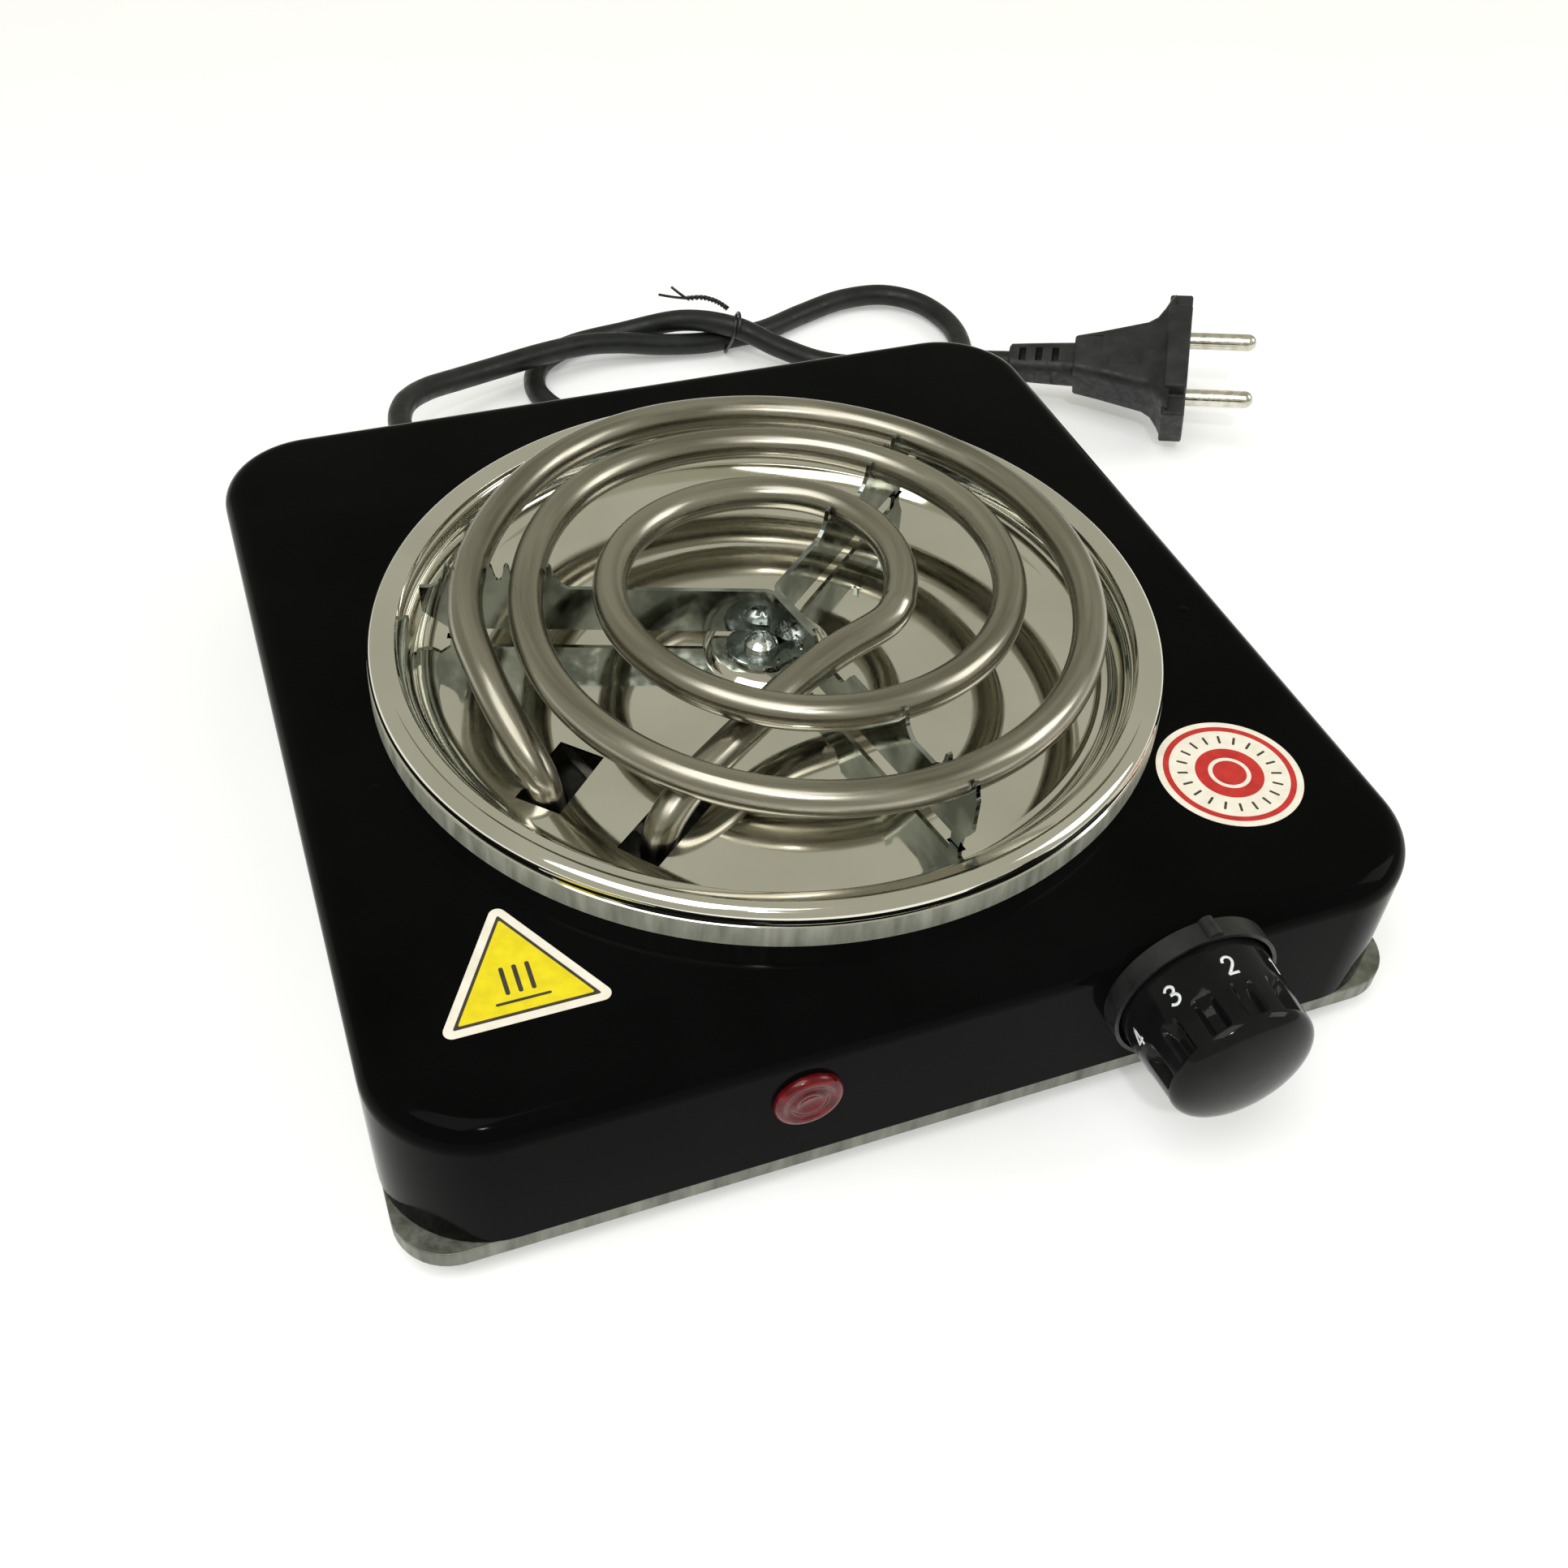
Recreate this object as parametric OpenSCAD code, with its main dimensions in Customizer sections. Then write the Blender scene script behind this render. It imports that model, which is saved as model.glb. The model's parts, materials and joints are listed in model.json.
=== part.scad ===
// Single-coil electric hot plate. Millimetres, +Z up, front face towards -Y.
// The origin is on the standing surface, under the middle of the footprint.

/* [Body] */
// Width of the body, left to right
body_w = 205; // [195:1:225]
// Depth of the body, front to back
body_d = 208.5; // [200:0.5:225]
// Height of the top cover
cover_h = 32.6; // [30:0.2:40]
// Corner radius of the top cover
corner_r = 21; // [15:1:26]
// Radius of the rounded top edge
edge_r = 5.2; // [3:0.2:7]
// Sheet thickness of the cover and the tray
sheet = 0.8; // [0.6:0.1:1]

/* [Base] */
// Height of the rubber feet
foot_h = 5; // [4:0.5:8]
// Height of the tray band seen under the cover
band_h = 4; // [3:0.5:6]
// Corner radius of the base tray
tray_r = 11; // [8:1:18]

/* [Drip pan] */
// Outside radius of the pan's skirt
pan_r = 83; // [82:0.5:85]
// Height of the pan's rim above the cover
pan_rim_h = 8.5; // [7:0.5:10]
// Sheet thickness of the pan
pan_sheet = 0.6; // [0.5:0.1:0.8]

/* [Heating coil] */
// Diameter of the heating tube
tube_d = 7.1; // [6.5:0.1:7.3]
// Height of the tube's centre line above the cover
coil_rise = 15.1; // [15:0.1:16]

/* [Controls] */
// Distance of the knob's axis right of the middle
knob_x = 45.4; // [40:0.2:55]
// Height of the knob's axis above the standing surface
knob_z = 30.5; // [29:0.5:32]
// How far the knob, and at the back the cord's relief, stand out
reach = 24.5; // [24:0.5:28]
// Distance of the indicator left of the middle
lamp_x = 29.4; // [20:0.2:40]
// Height of the indicator above the standing surface
lamp_z = 27.2; // [24:0.2:30]

/* [Mains lead] */
// Diameter of the lead
cord_d = 6.4; // [5.8:0.1:6.4]
// Diameter of the plug's pins
pin_d = 4.8; // [4:0.1:5]
// Length of the plug's pins
pin_len = 19; // [18:0.5:20]
// Distance between the plug's pins
pin_pitch = 19; // [18:0.5:20]

/* [Hidden] */

$fn = 48;
hull_fn = 32;       // facets of the pieces inside a hull
front_y = -body_d / 2;
back_y = body_d / 2;
tray_z = foot_h;
cover_z = foot_h + band_h;
top_z = cover_z + cover_h;
coil_z = top_z + coil_rise;
tube_r = tube_d / 2;
cord_r = cord_d / 2;

// The pan and the coil sit slightly left of and in front of the middle.
pan_x = -0.6;
pan_y = -3.4;
pan_hole_r = 76;    // hole in the cover
dish_z = -1.8;      // dish floor, from the top of the cover
boss_z = -0.3;      // raised middle of the dish
screw_x = -2;       // centre screw, from the pan's axis
screw_y = -1;
screw_r = 2;

// ---- Shared shapes ----

function smooth(t) = let (u = min(max(t, 0), 1)) u * u * (3 - 2 * u);
function unit(v) = v / norm(v);

// Points of an arc in a plane, from angle a to angle b
function arc(x, y, r, a, b, n = 8) =
  [for (i = [0:n]) [x + r * cos(a + (b - a) * i / n), y + r * sin(a + (b - a) * i / n)]];

// One point of a smooth curve between b and c, with neighbours a and d
function blend_point(a, b, c, d, t) =
  b + t * (c - a) / 2 + t * t * (a - 2.5 * b + 2 * c - d / 2)
    + t * t * t * (1.5 * b - 1.5 * c + d / 2 - a / 2);

// A smooth curve through the points p, each stretch cut in n
function smooth_path(p, n) = concat(
  [for (i = [0:len(p) - 2], k = [0:n - 1])
    blend_point(p[max(i - 1, 0)], p[i], p[i + 1], p[min(i + 2, len(p) - 1)], k / n)],
  [p[len(p) - 1]]
);

function tangents(p) =
  [for (i = [0:len(p) - 1]) unit(p[min(i + 1, len(p) - 1)] - p[max(i - 1, 0)])];

// A normal at each point that turns with the path and never twists
function normals(t, start) =
  [for (i = 0, n = unit(start - (start * t[0]) * t[0]); i < len(t);
        i = i + 1, n = i < len(t) ? unit(n - (n * t[i]) * t[i]) : n) n];

// A round solid swept along the points p
module sweep(p, r, sides, start = [0, 0, 1]) {
  t = tangents(p);
  n = normals(t, start);
  rings = [for (i = [0:len(p) - 1], k = [0:sides - 1])
    p[i] + r * (cos(360 * k / sides) * n[i] + sin(360 * k / sides) * cross(t[i], n[i]))];
  last = (len(p) - 1) * sides;
  walls = [for (i = [0:len(p) - 2], k = [0:sides - 1])
    [i * sides + k, (i + 1) * sides + k, (i + 1) * sides + (k + 1) % sides,
     i * sides + (k + 1) % sides]];
  caps = [[for (k = [0:sides - 1]) k], [for (k = [0:sides - 1]) last + sides - 1 - k]];
  polyhedron(points = rings, faces = concat(walls, caps), convexity = 6);
}

module rounded_plate(w, d, h, r) {
  linear_extrude(h) union() {
    square([w - 2 * r, d], center = true);
    square([w, d - 2 * r], center = true);
    for (sx = [-1, 1], sy = [-1, 1])
      translate([sx * (w / 2 - r), sy * (d / 2 - r)]) circle(r);
  }
}

// A block with rounded corners and a rounded top edge
module soft_top_block(w, d, h, r, edge) {
  hull()
    for (sx = [-1, 1], sy = [-1, 1])
      translate([sx * (w / 2 - r), sy * (d / 2 - r), 0])
        rotate_extrude($fn = 2 * hull_fn)
          polygon(concat([[0, 0], [r, 0]], arc(r - edge, h - edge, edge, 0, 90, 6), [[0, h]]));
}

// Local frame of the front wall: +Z points out of the wall, +Y up
module on_front(x, z) {
  translate([x, front_y, z]) rotate([90, 0, 0]) children();
}

module ring(r_out, r_in, h) {
  difference() {
    cylinder(r = r_out, h = h);
    translate([0, 0, -1]) cylinder(r = r_in, h = h + 2);
  }
}

module cross_recess(r, depth) {
  for (a = [0, 90])
    rotate([0, 0, a]) translate([-r, -0.5, 0]) cube([2 * r, 1, depth]);
}

// ---- Casing ----

hanger_spots = [[-87, -21.5], [91.5, -20]];
hanger_screw_r = 1.9;
gland_x = -54;
gland_z = 18;
gland_neck_r = 4.7;
bush_r = 4;
lamp_body_r = 4.9;

module top_cover() {
  color("#0b0b0c")
    difference() {
      translate([0, 0, cover_z]) soft_top_block(body_w, body_d, cover_h, corner_r, edge_r);
      translate([0, 0, cover_z - sheet])
        soft_top_block(body_w - 2 * sheet, body_d - 2 * sheet, cover_h,
                       corner_r - sheet, edge_r - sheet);
      translate([pan_x, pan_y, top_z - 3]) cylinder(r = pan_hole_r, h = 6, $fn = 96);
      on_front(knob_x, knob_z) translate([0, 0, -3]) cylinder(r = bush_r + 0.2, h = 6);
      on_front(-lamp_x, lamp_z) translate([0, 0, -3]) cylinder(r = lamp_body_r + 0.15, h = 6);
      translate([gland_x, back_y + 3, gland_z]) rotate([90, 0, 0])
        cylinder(r = gland_neck_r + 0.05, h = 6);
      // Spot-weld marks over the hangers
      for (spot = hanger_spots)
        translate([spot[0], spot[1], top_z + 3.7]) sphere(r = 4);
    }
}

tray_gap = 0.3;     // tray band, inside the cover's outer faces
lip_gap = 0.25;     // tray lip, inside the cover's inner faces
lip_h = 3;
foot_spots = [for (sx = [-1, 1], sy = [-1, 1]) [sx * 84, sy * 86]];

module base_tray() {
  w = body_w - 2 * tray_gap;
  d = body_d - 2 * tray_gap;
  lip_w = body_w - 2 * (sheet + lip_gap);
  lip_d = body_d - 2 * (sheet + lip_gap);
  lip_r = corner_r - sheet - lip_gap;
  well = 2.6;       // width of the ledge that the cover stands on
  color("#8d9091")
    difference() {
      union() {
        translate([0, 0, tray_z]) rounded_plate(w, d, band_h, tray_r);
        translate([0, 0, tray_z]) rounded_plate(lip_w, lip_d, band_h + lip_h, lip_r);
      }
      translate([0, 0, tray_z + sheet])
        rounded_plate(lip_w - 2 * well, lip_d - 2 * well, band_h + lip_h, lip_r - well);
      for (spot = hanger_spots)
        translate([spot[0], spot[1], tray_z - 1]) cylinder(r = hanger_screw_r + 0.2, h = 4);
      for (spot = foot_spots)
        translate([spot[0], spot[1], tray_z - 1]) cylinder(r = 1.8, h = 4);
      // Two rows of air slots
      for (sy = [-1, 1], i = [-3:3])
        translate([i * 13 - 2, sy * 46 - 17, tray_z - 1]) cube([4, 34, 4]);
    }
}

// Brackets welded under the cover; the base screws pull the tray up against them.
module cover_hangers() {
  arm = 5.6;
  leg = 1.2;
  color("#a3a6a8")
    for (spot = hanger_spots) {
      side = sign(spot[0]);
      translate([spot[0], spot[1], 0])
        difference() {
          union() {
            translate([-arm, -6, top_z - sheet - leg]) cube([2 * arm, 12, leg]);
            translate([side < 0 ? arm - leg : -arm, -6, tray_z + sheet])
              cube([leg, 12, top_z - tray_z - 2 * sheet]);
            translate([-arm, -6, tray_z + sheet]) cube([2 * arm, 12, leg]);
          }
          translate([0, 0, tray_z]) cylinder(r = hanger_screw_r + 0.05, h = 5);
        }
    }
}

// Pan-head screw standing on its head, shank up
module screw_up(head_r, head_h, shank_r, shank_h) {
  difference() {
    union() {
      cylinder(r1 = head_r - 0.7, r2 = head_r, h = head_h);
      translate([0, 0, head_h - 0.01]) cylinder(r = shank_r, h = shank_h + 0.01);
    }
    translate([0, 0, -0.1]) cross_recess(head_r * 0.6, head_h * 0.6);
  }
}

module base_screws() {
  color("#b9bcbe")
    for (spot = hanger_spots)
      translate([spot[0], spot[1], tray_z - 2.4]) screw_up(3.8, 2.4, hanger_screw_r, 6);
}

module rubber_feet() {
  color("#161616")
    for (spot = foot_spots)
      translate([spot[0], spot[1], 0])
        difference() {
          cylinder(r1 = 6.2, r2 = 7.2, h = foot_h);
          translate([0, 0, -1]) cylinder(r = 3.6, h = foot_h - 0.4);
          cylinder(r = 1.75, h = foot_h + 1);
        }
}

module foot_screws() {
  color("#b9bcbe")
    for (spot = foot_spots)
      translate([spot[0], spot[1], foot_h - 1.4 - 2]) screw_up(3.2, 2, 1.7, 5.2);
}

// ---- Drip pan ----

// Section of the pan, radius and height from the cover's top, from the skirt to the raised middle.
// t is the distance below the upper surface.
function pan_line(t) = concat(
  [[pan_r - t, 0], [pan_r - 0.2 - t, pan_rim_h - 3.2]],
  arc(pan_r - 3, pan_rim_h - 2.8, 2.8 - t, 0, 90, 8),
  arc(pan_r - 5.2, pan_rim_h - 1.5, 1.2 - t, 90, 155, 5),
  arc(pan_r - 15, dish_z + 5, 5 + t, 335, 270, 7),
  [[14, dish_z - t], [12, boss_z - t], [0, boss_z - t]]
);

// The outer end drops at the left, the inner end in front of it.
slot_outer = [-51.9, -24, 45, 17.5, 9.8];   // x, y, turn, length, width
slot_inner = [-36.2, -42.6, 40, 19.5, 9.2];

module pan_slot(s) {
  translate([s[0], s[1], -6]) rotate([0, 0, s[2]])
    translate([-s[3] / 2, -s[4] / 2, 0]) cube([s[3], s[4], 12]);
}

module drip_pan() {
  color("#b4aea2")
    translate([pan_x, pan_y, top_z])
      difference() {
        rotate_extrude($fn = 128) polygon(concat(pan_line(0), reverse(pan_line(pan_sheet))));
        pan_slot(slot_outer);
        pan_slot(slot_inner);
        for (arm = arms)
          rotate([0, 0, arm[0]])
            translate([foot_from - 0.5, arm[1] - strip / 2 - 0.4, -6])
              cube([foot_len + 1, strip + 0.8, 12]);
        translate([screw_x, screw_y, -6]) cylinder(r = screw_r + 0.2, h = 12);
      }
}

function reverse(p) = [for (i = [len(p) - 1:-1:0]) p[i]];

bridge_t = 1.2;
bridge_w = 16;
bridge_top = dish_z - pan_sheet;    // from the top of the cover

module pan_bridge() {
  y = pan_y + screw_y;
  step = -sheet - bridge_top;       // joggle up to the underside of the cover
  color("#a3a6a8")
    difference() {
      translate([pan_x, y + bridge_w / 2, top_z]) rotate([90, 0, 0])
        linear_extrude(bridge_w)
          polygon([
            [-86, -sheet], [-78, -sheet], [-75, bridge_top], [75, bridge_top],
            [78, -sheet], [86, -sheet], [86, -sheet - bridge_t],
            [78 + step / 2, -sheet - bridge_t], [75 + step / 2, bridge_top - bridge_t],
            [-75 - step / 2, bridge_top - bridge_t], [-78 - step / 2, -sheet - bridge_t],
            [-86, -sheet - bridge_t]
          ]);
      translate([pan_x + screw_x, y, top_z - 8]) cylinder(r = screw_r + 0.1, h = 8);
    }
}

// ---- Heating coil ----

coil_start = 165;       // angle where the outer ring begins
coil_end = -751;        // angle where the inner ring ends, turning clockwise
ring_start_r = 62.2;
// Each row: from angle, to angle, change of radius
ring_steps = [
  [150, 95, 3.6], [-50, -200, -15.7], [-200, -250, 2.6], [-330, -530, -19.6], [-660, -760, -7]
];

// Radius of the coil's centre line at an angle, largest at the outer ring
function coil_radius(a) =
  ring_start_r + rows_sum([for (s = ring_steps) s[2] * smooth((s[0] - a) / (s[0] - s[1]))]);
function rows_sum(v, i = 0) = i < len(v) ? v[i] + rows_sum(v, i + 1) : 0;
function coil_point(a) = [coil_radius(a) * cos(a), coil_radius(a) * sin(a), 0];

coil_drop = -23.7;      // lower ends of the tube, from the coil's plane
// From the outer end up to the start of the outer ring
outer_lead = [
  [-55, -27.5, coil_drop], [-55, -27.5, -21.5], [-55, -27.5, -19], [-56, -26, -14.2], [-58, -21.5, -9.6],
  [-60, -14.5, -5.8], [-61.4, -6, -2.8], [-62, 5, -0.5]
];
// From the end of the inner ring, under the other rings, down to the inner end
inner_tail = [
  [18.4, -16.4, -1.2], [7, -19.8, -3], [-4, -24, -5.4], [-14, -29.8, -7.4], [-22.5, -35.2, -8.4],
  [-30, -39.8, -10], [-35.8, -43.3, -13.6], [-38.4, -44.8, -18.6], [-38.4, -44.8, -21.5],
  [-38.4, -44.8, coil_drop]
];
coil_step = 10;

function coil_path() = concat(
  smooth_path(concat(outer_lead, [coil_point(coil_start), coil_point(coil_start - coil_step)]), 3),
  [for (a = [coil_start - 2 * coil_step:-coil_step:coil_end + coil_step]) coil_point(a)],
  smooth_path(concat([coil_point(coil_end)], inner_tail), 3)
);

module heating_coil() {
  color("#8f897c")
    translate([pan_x, pan_y, coil_z]) sweep(coil_path(), tube_r, 12, [1, 0, 0]);
}

// Lower ends of the tube, the outer one first
coil_ends = [for (end = [outer_lead[0], inner_tail[len(inner_tail) - 1]])
  [pan_x + end[0], pan_y + end[1], coil_z + coil_drop]];

module at_coil_ends() {
  for (end = coil_ends) translate(end) children();
}

seal_h = 5;
stem_h = 5;
blade_h = 9;
blade_w = 6.3;

module coil_end_seals() {
  color("#e9e4d6")
    at_coil_ends() translate([0, 0, -seal_h]) ring(tube_r, 1.3, seal_h);
}

module coil_terminal_pins() {
  color("#b9bcbe")
    at_coil_ends() {
      translate([0, 0, -seal_h - stem_h]) cylinder(r = 1.25, h = seal_h + stem_h - 0.5);
      translate([-blade_w / 2, -0.4, -seal_h - stem_h - blade_h]) cube([blade_w, 0.8, blade_h]);
    }
}

// Receptacle for a blade that points down, with the wire's barrel at its side
module receptacle() {
  difference() {
    translate([-4, -1.5, -7.5]) cube([8, 3, 7]);
    translate([-3.3, -0.45, -8]) cube([6.6, 0.9, 8]);
  }
  translate([-4, 0, -6]) rotate([0, -90, 0]) cylinder(r = 1.5, h = 4);
}

module push_on_terminals() {
  color("#c9b06a") {
    at_coil_ends() translate([0, 0, -seal_h - stem_h - 1]) receptacle();
    for (z = [blade_1_z, blade_2_z])
      on_front(knob_x - blade_left + 7.5, knob_z) translate([0, 0, z + blade_t / 2])
        rotate([0, 90, 0]) rotate([0, 0, 90]) receptacle();
  }
}

// ---- Coil supports ----

strip = 1;              // strip thickness
arm_low = 0.7;          // lower edge of the arms, from the cover's top
arm_high = coil_rise - tube_r;
tooth_h = 6;
tooth_w = 2.2;
tooth_gap = 0.5;        // between a tooth and the tube, along the arm
foot_from = 64.5;       // foot of each arm, along the arm
foot_len = 3;
// Each arm: direction, sideways offset from the pan's axis, length
arms = [[161.8, -3.3, 72.5], [-78.8, 2.1, 70], [41.2, 1.3, 70]];

// Distance along an arm at which it meets the ring whose angle is a
function along(arm, turn) =
  let (r = coil_radius(arm[0] - 360 * turn)) sqrt(r * r - arm[1] * arm[1]);
function beside(arm, turn, side) = along(arm, turn) + side * (tube_r + tooth_w / 2 + tooth_gap);

module tooth(at) {
  translate([at, 0])
    polygon([[-tooth_w, arm_high - 0.5], [tooth_w, arm_high - 0.5], [tooth_w / 2, arm_high + 2],
             [tooth_w / 2, arm_high + tooth_h - 0.6], [0.3, arm_high + tooth_h],
             [-tooth_w / 2, arm_high + tooth_h - 0.8], [-tooth_w / 2, arm_high + 2]]);
}

// One upright arm, from the distance start outwards, with teeth beside the rings
module support_arm(arm, start, teeth, dip = 0) {
  far = arm[2];
  rotate([0, 0, arm[0]]) translate([0, arm[1] + strip / 2, 0]) rotate([90, 0, 0])
    linear_extrude(strip)
      difference() {
        union() {
          polygon([
            [start, arm_low], [foot_from, arm_low], [foot_from + 0.4, -3.6],
            [foot_from + foot_len - 0.4, -3.6], [foot_from + foot_len, arm_low + 0.3],
            [far, 5.2], [far, arm_high], [start, arm_high]
          ]);
          for (t = teeth) tooth(t);
        }
        // Dip where the coil's tail passes over the arm
        if (dip > 0)
          polygon([[dip - 7, arm_high + 1], [dip - 5.5, arm_high - 4], [dip + 5.5, arm_high - 4],
                   [dip + 7, arm_high + 1]]);
      }
}

module coil_support_main() {
  left = arms[0];
  front = arms[1];
  tab_r = 7.6;
  color("#9a9c98")
    translate([pan_x, pan_y, top_z])
      difference() {
        union() {
          support_arm(left, -0.5, [for (turn = [0, 1], side = [-1, 1]) beside(left, turn, side)]);
          support_arm(front, -2.6, [beside(front, 0, -1), beside(front, 0, 1),
                                    beside(front, 1, 1)], dip = 21);
          // Bend between the two arms
          translate([1.55, 2.96, arm_low]) cylinder(r = 0.6, h = arm_high - arm_low);
          // Round screw tab between the arms
          intersection() {
            translate([screw_x, screw_y, boss_z]) cylinder(r = tab_r, h = strip);
            rotate([0, 0, left[0]]) translate([-12, left[1], boss_z]) cube([40, 30, strip]);
            rotate([0, 0, front[0]]) translate([-12, front[1] - 30, boss_z]) cube([40, 30, strip]);
          }
        }
        translate([screw_x, screw_y, -3]) cylinder(r = screw_r + 0.15, h = 6);
      }
}

clinch_spots = [3.5, 9];    // along the front arm

module coil_support_arm() {
  front = arms[1];
  back = arms[2];
  flange_y = front[1] + strip / 2 + 0.02;
  color("#9a9c98")
    translate([pan_x, pan_y, top_z]) {
      support_arm(back, 4.6, [beside(back, 2, -1), beside(back, 1, -1), beside(back, 1, 1),
                              beside(back, 0, -1)]);
      rotate([0, 0, front[0]])
        translate([-2.3, flange_y, arm_low]) cube([14.3, strip, arm_high - arm_low]);
      translate([2.8, 3.3, arm_low]) cylinder(r = 0.6, h = arm_high - arm_low);
      rotate([0, 0, front[0]])
        for (s = clinch_spots)
          translate([s, flange_y + strip, (arm_low + arm_high) / 2]) rotate([-90, 0, 0])
            cylinder(r1 = 1.7, r2 = 1.3, h = 0.4);
    }
}

head_r = 3.5;
head_h = 2.6;
screw_len = 13;

module centre_screw() {
  dome_r = 5;
  color("#c3c6c4")
    translate([pan_x + screw_x, pan_y + screw_y, top_z + boss_z + strip])
      difference() {
        union() {
          intersection() {
            cylinder(r = head_r, h = head_h);
            translate([0, 0, head_h - dome_r]) sphere(r = dome_r);
          }
          translate([0, 0, -screw_len]) cylinder(r = screw_r, h = screw_len + 0.5);
        }
        translate([0, 0, head_h - 1.6]) cross_recess(1.9, 2);
      }
}

module centre_nut() {
  color("#b9bcbe")
    translate([pan_x + screw_x, pan_y + screw_y, top_z + bridge_top - bridge_t - 3.2])
      difference() {
        cylinder(r = 4.04, h = 3.2, $fn = 6);
        translate([0, 0, -1]) cylinder(r = screw_r + 0.02, h = 6);
      }
}

// ---- Knob and thermostat, on the front wall's local frame ----

bezel_r = 16.6;
bezel_in_r = 15.8;
bezel_h = 4.3;
knob_base_r = 15.2;
knob_tip_r = 14;
knob_from = 0.9;        // clearance between the knob and the wall
spindle_r = 3;
bush_bore_r = spindle_r + 0.05;
adjuster_r = 2.04;

module knob_bezel() {
  color("#1d1d1e")
    on_front(knob_x, knob_z) {
      ring(bezel_r, bezel_in_r, bezel_h);
      ring(bezel_in_r + 0.2, 8.5, 0.5);
      // Pointer rib
      difference() {
        translate([0, bezel_r - 0.3, 0]) cylinder(r = 1.6, h = bezel_h - 0.2);
        translate([0, 0, -1]) cylinder(r = bezel_in_r, h = bezel_h + 2);
      }
    }
}

// Outline of the knob, radius and distance out of the wall
function knob_outline() = concat(
  [[0, 8], [knob_base_r - 3, 8], [knob_base_r - 1.6, knob_from], [knob_base_r, knob_from]],
  [[knob_base_r - 0.1, 5], [knob_tip_r + 0.3, reach - 8]],
  arc(knob_tip_r - 6, reach - 7.6, 6, 8, 62, 8),
  [[6, reach - 1], [3, reach - 0.2], [0, reach]]
);

module control_knob() {
  flutes = 12;
  color("#0e0e0f")
    on_front(knob_x, knob_z)
      difference() {
        union() {
          rotate_extrude($fn = 96) polygon(knob_outline());
          translate([0, 0, knob_from + 3]) cylinder(r = 5.5, h = 6);
        }
        // Grip flutes round the front half
        for (i = [0:flutes - 1])
          rotate([0, 0, 15 + i * 360 / flutes]) translate([knob_base_r + 0.9, 0, 10])
            rotate([0, -4, 0]) cylinder(r = 2.1, h = 9);
        translate([0, 0, knob_from]) cylinder(r = spindle_r, h = 14);
      }
}

module knob_spindle() {
  color("#b9bcbe")
    on_front(knob_x, knob_z) translate([0, 0, -4.4]) cylinder(r = spindle_r, h = 17);
}

module thermostat_bush() {
  color("#c2a75b")
    on_front(knob_x, knob_z)
      difference() {
        union() {
          translate([0, 0, -4.5]) cylinder(r = 6.9, h = 2.5, $fn = 6);
          translate([0, 0, -7]) cylinder(r = 3.4, h = 3);
          translate([0, 0, -2.5]) cylinder(r = bush_r, h = 5.8);
        }
        translate([0, 0, -4.6]) cylinder(r = bush_bore_r, h = 10);
        translate([0, 0, -8]) cylinder(r = adjuster_r + 0.06, h = 5);
      }
}

module bush_nut() {
  color("#c2a75b")
    on_front(knob_x, knob_z)
      difference() {
        cylinder(r = 6.9, h = 2.2, $fn = 6);
        translate([0, 0, -1]) cylinder(r = bush_r + 0.03, h = 5);
      }
}

stack_x = -24;          // blade stack, from the knob's axis
blade_left = 38;        // left end of the blades
blade_1_z = -9.1;       // inner faces of the two blades
blade_2_z = -12.5;
blade_t = 0.4;
bimetal_z = -16.5;
contact_x = 6.5;

module thermostat_bracket() {
  color("#a3a6a8")
    on_front(knob_x, knob_z)
      difference() {
        translate([stack_x - 6, -5.7, -2]) cube([38, 11.4, 1.2]);
        translate([0, 0, -3]) cylinder(r = bush_r + 0.05, h = 4);
        translate([stack_x, 0, -3]) cylinder(r = 1.55, h = 4);
      }
}

module contact_blades() {
  color("#c08a4a")
    on_front(knob_x, knob_z)
      for (z = [blade_1_z, blade_2_z])
        difference() {
          union() {
            translate([stack_x - 6, -3, z]) cube([contact_x + 8 - stack_x, 6, blade_t]);
            translate([-blade_left, -blade_w / 2, z]) cube([9, blade_w, blade_t]);
          }
          translate([stack_x, 0, z - 1]) cylinder(r = 1.55, h = 3);
        }
}

module contact_buttons() {
  gap = blade_1_z - blade_2_z - blade_t;
  color("#d9dadb")
    on_front(knob_x, knob_z)
      for (z = [blade_2_z + blade_t, blade_2_z + blade_t + gap / 2 + 0.02])
        translate([contact_x, 0, z]) cylinder(r = 1.6, h = gap / 2 - 0.02);
}

module bimetal_strip() {
  color("#8f8a86")
    on_front(knob_x, knob_z)
      difference() {
        translate([stack_x - 6, -4, bimetal_z]) cube([36, 8, 1]);
        translate([stack_x, 0, bimetal_z - 1]) cylinder(r = 1.55, h = 3);
      }
}

// Washers between the blades, and the stud that carries the bimetal's push to the second blade
module ceramic_insulators() {
  spans = [
    [-5.3, -2], [blade_1_z + blade_t, -5.3], [blade_2_z + blade_t, blade_1_z],
    [bimetal_z + 1, blade_2_z], [-19, bimetal_z]
  ];
  color("#e9e4d6")
    on_front(knob_x, knob_z) {
      for (s = spans)
        translate([stack_x, 0, s[0]]) ring(4.5, 1.6, s[1] - s[0]);
      translate([-3, 0, bimetal_z + 1]) cylinder(r = 1.2, h = blade_2_z - bimetal_z - 1);
    }
}

module stack_rivet() {
  color("#b9bcbe")
    on_front(knob_x, knob_z) {
      translate([stack_x, 0, -19]) cylinder(r = 1.5, h = 18.1);
      translate([stack_x, 0, -20.2]) cylinder(r1 = 2, r2 = 2.7, h = 1.2);
    }
}

module adjuster_pin() {
  color("#f2eee2")
    on_front(knob_x, knob_z) translate([0, 0, -8.2]) cylinder(r = adjuster_r, h = 3.45);
}

// ---- Indicator ----

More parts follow.
